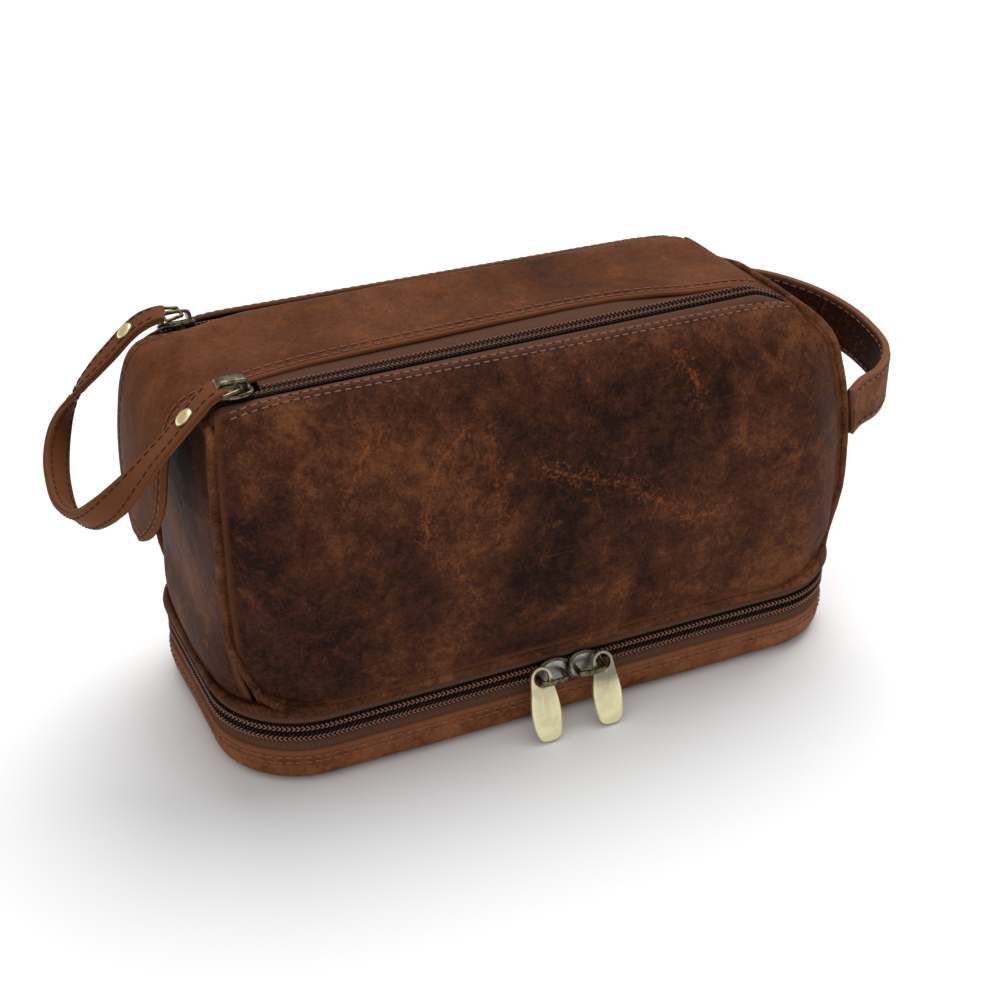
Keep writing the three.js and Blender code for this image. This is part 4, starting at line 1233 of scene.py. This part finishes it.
# ---- Carrying handle across the right end ----
HANDLE_WIDTH = 21
HANDLE_THICKNESS = 3.0
HANDLE_STEPS = 220
handle_path = Curve([(130.2, -44.6, 94), (137, -41, 95.5), (147, -37, 96), (155, -31, 97), (161, -22, 98.5),
                     (163.5, -9, 100.5), (163, 5, 103), (158, 20, 106), (149, 33, 108.5), (139, 42, 110.3),
                     (130.2, 45.6, 111)]).spaced(HANDLE_STEPS)
groove = edge_groove(HANDLE_WIDTH, 0.3, 0.5)
flat = rounded(HANDLE_WIDTH, HANDLE_THICKNESS, 0.7)
inner_points = [(x, HANDLE_THICKNESS / 2) for x in (8, 6, 3, 0, -3, -6, -8)]
section = np.vstack([groove, flat[:4], inner_points, flat[4:8],
                     opposite(groove), flat[8:12], opposite(inner_points), flat[12:]])
border = HANDLE_WIDTH / 2 - np.abs(section[:, 0])
puff = 1 + 0.22 * smoothstep(border, 1, 5) - 0.12 * np.exp(-((border - 2.4) / 0.7)**2)
section = section * np.column_stack([np.ones(len(puff)), puff])
handle = strip(handle_path, UP, section, border=border)
handle = (handle[0] + 0.25 * ripple(handle[0], 30, 61)[:, None] * [1, 0.6, 0.4], handle[1], handle[2])
# Painted light and shade on the handle: its far rear end darker and the front of its bend lighter
HANDLE_PAINTED_LIGHT_AND_SHADE = XY, [(140, 44, 14, -0.1), (160, -18, 14, 0.2)]
# Painted shade: the handle's inner face, towards the bag, is made much darker
inside = np.tile(section[:, 1] < 0, len(handle_path))
handle[2]["tone"] = blobs(handle[0], HANDLE_PAINTED_LIGHT_AND_SHADE) - 0.9 * inside
make("side_handle_leather", "handle", "upper_bag", [handle], ["side_handle"])
rows = []
for offset in (HANDLE_WIDTH / 2 - 2.4, 2.4 - HANDLE_WIDTH / 2):
    for lift in (HANDLE_THICKNESS / 2 + 0.05, -HANDLE_THICKNESS / 2 - 0.05):
        rows.append(ribbon_rows(handle_path, UP, offset, lift, 2, HANDLE_STEPS - 2))
stitch("handle_seam", "upper_bag", rows, 3.8, 2.6)

# ---- Floor, light and camera ----
floor_mesh = bpy.data.meshes.new("floor")
floor_mesh.from_pydata([(-6, -6, 0), (6, -6, 0), (6, 6, 0), (-6, 6, 0)], [], [(0, 1, 2, 3)])
floor = bpy.data.objects.new("floor", floor_mesh)
floor.location.z = -0.0003
bpy.context.scene.collection.objects.link(floor)
floor_material, floor_tree, floor_shader = start_material("floor")
finish_surface(floor_tree, floor_shader, (0.93, 0.93, 0.93, 1), 0.9, None, level=0.0)
floor_mesh.materials.append(floor_material)

SKY = 0.44
world = bpy.data.worlds.new("sky")
world.use_nodes = True
world.node_tree.nodes["Background"].inputs[0].default_value = (1.0, 1.0, 1.0, 1)
world.node_tree.nodes["Background"].inputs[1].default_value = SKY
bpy.context.scene.world = world


def seen_from(azimuth, elevation):
    """Direction in degrees from the bag towards a lamp or the camera, with the front at 0."""
    a, e = math.radians(azimuth), math.radians(elevation)
    return Vector((math.sin(a) * math.cos(e), -math.cos(a) * math.cos(e), math.sin(e)))


def sun(name, azimuth, elevation, strength, spread):
    light = bpy.data.lights.new(name, "SUN")
    light.energy = strength
    light.angle = math.radians(spread)
    lamp = bpy.data.objects.new(name, light)
    lamp.rotation_euler = seen_from(azimuth, elevation).to_track_quat("Z", "Y").to_euler()
    bpy.context.scene.collection.objects.link(lamp)


sun("key", 142, 60, 2.6, 55)
sun("fill", -40, 48, 0.5, 70)

CAMERA_AZIMUTH = -25.11
CAMERA_ELEVATION = 29.47
CAMERA_DISTANCE = 0.6769
CAMERA_TARGET = Vector((-0.0009, 0, 0.0628))
camera_data = bpy.data.cameras.new("camera")
camera_data.lens = 61.88
camera_data.sensor_width = 36
camera = bpy.data.objects.new("camera", camera_data)
back = seen_from(CAMERA_AZIMUTH, CAMERA_ELEVATION)
camera.location = CAMERA_TARGET + back * CAMERA_DISTANCE
camera.rotation_euler = back.to_track_quat("Z", "Y").to_euler()
bpy.context.scene.collection.objects.link(camera)
bpy.context.scene.camera = camera
bpy.context.scene.view_settings.view_transform = "Standard"
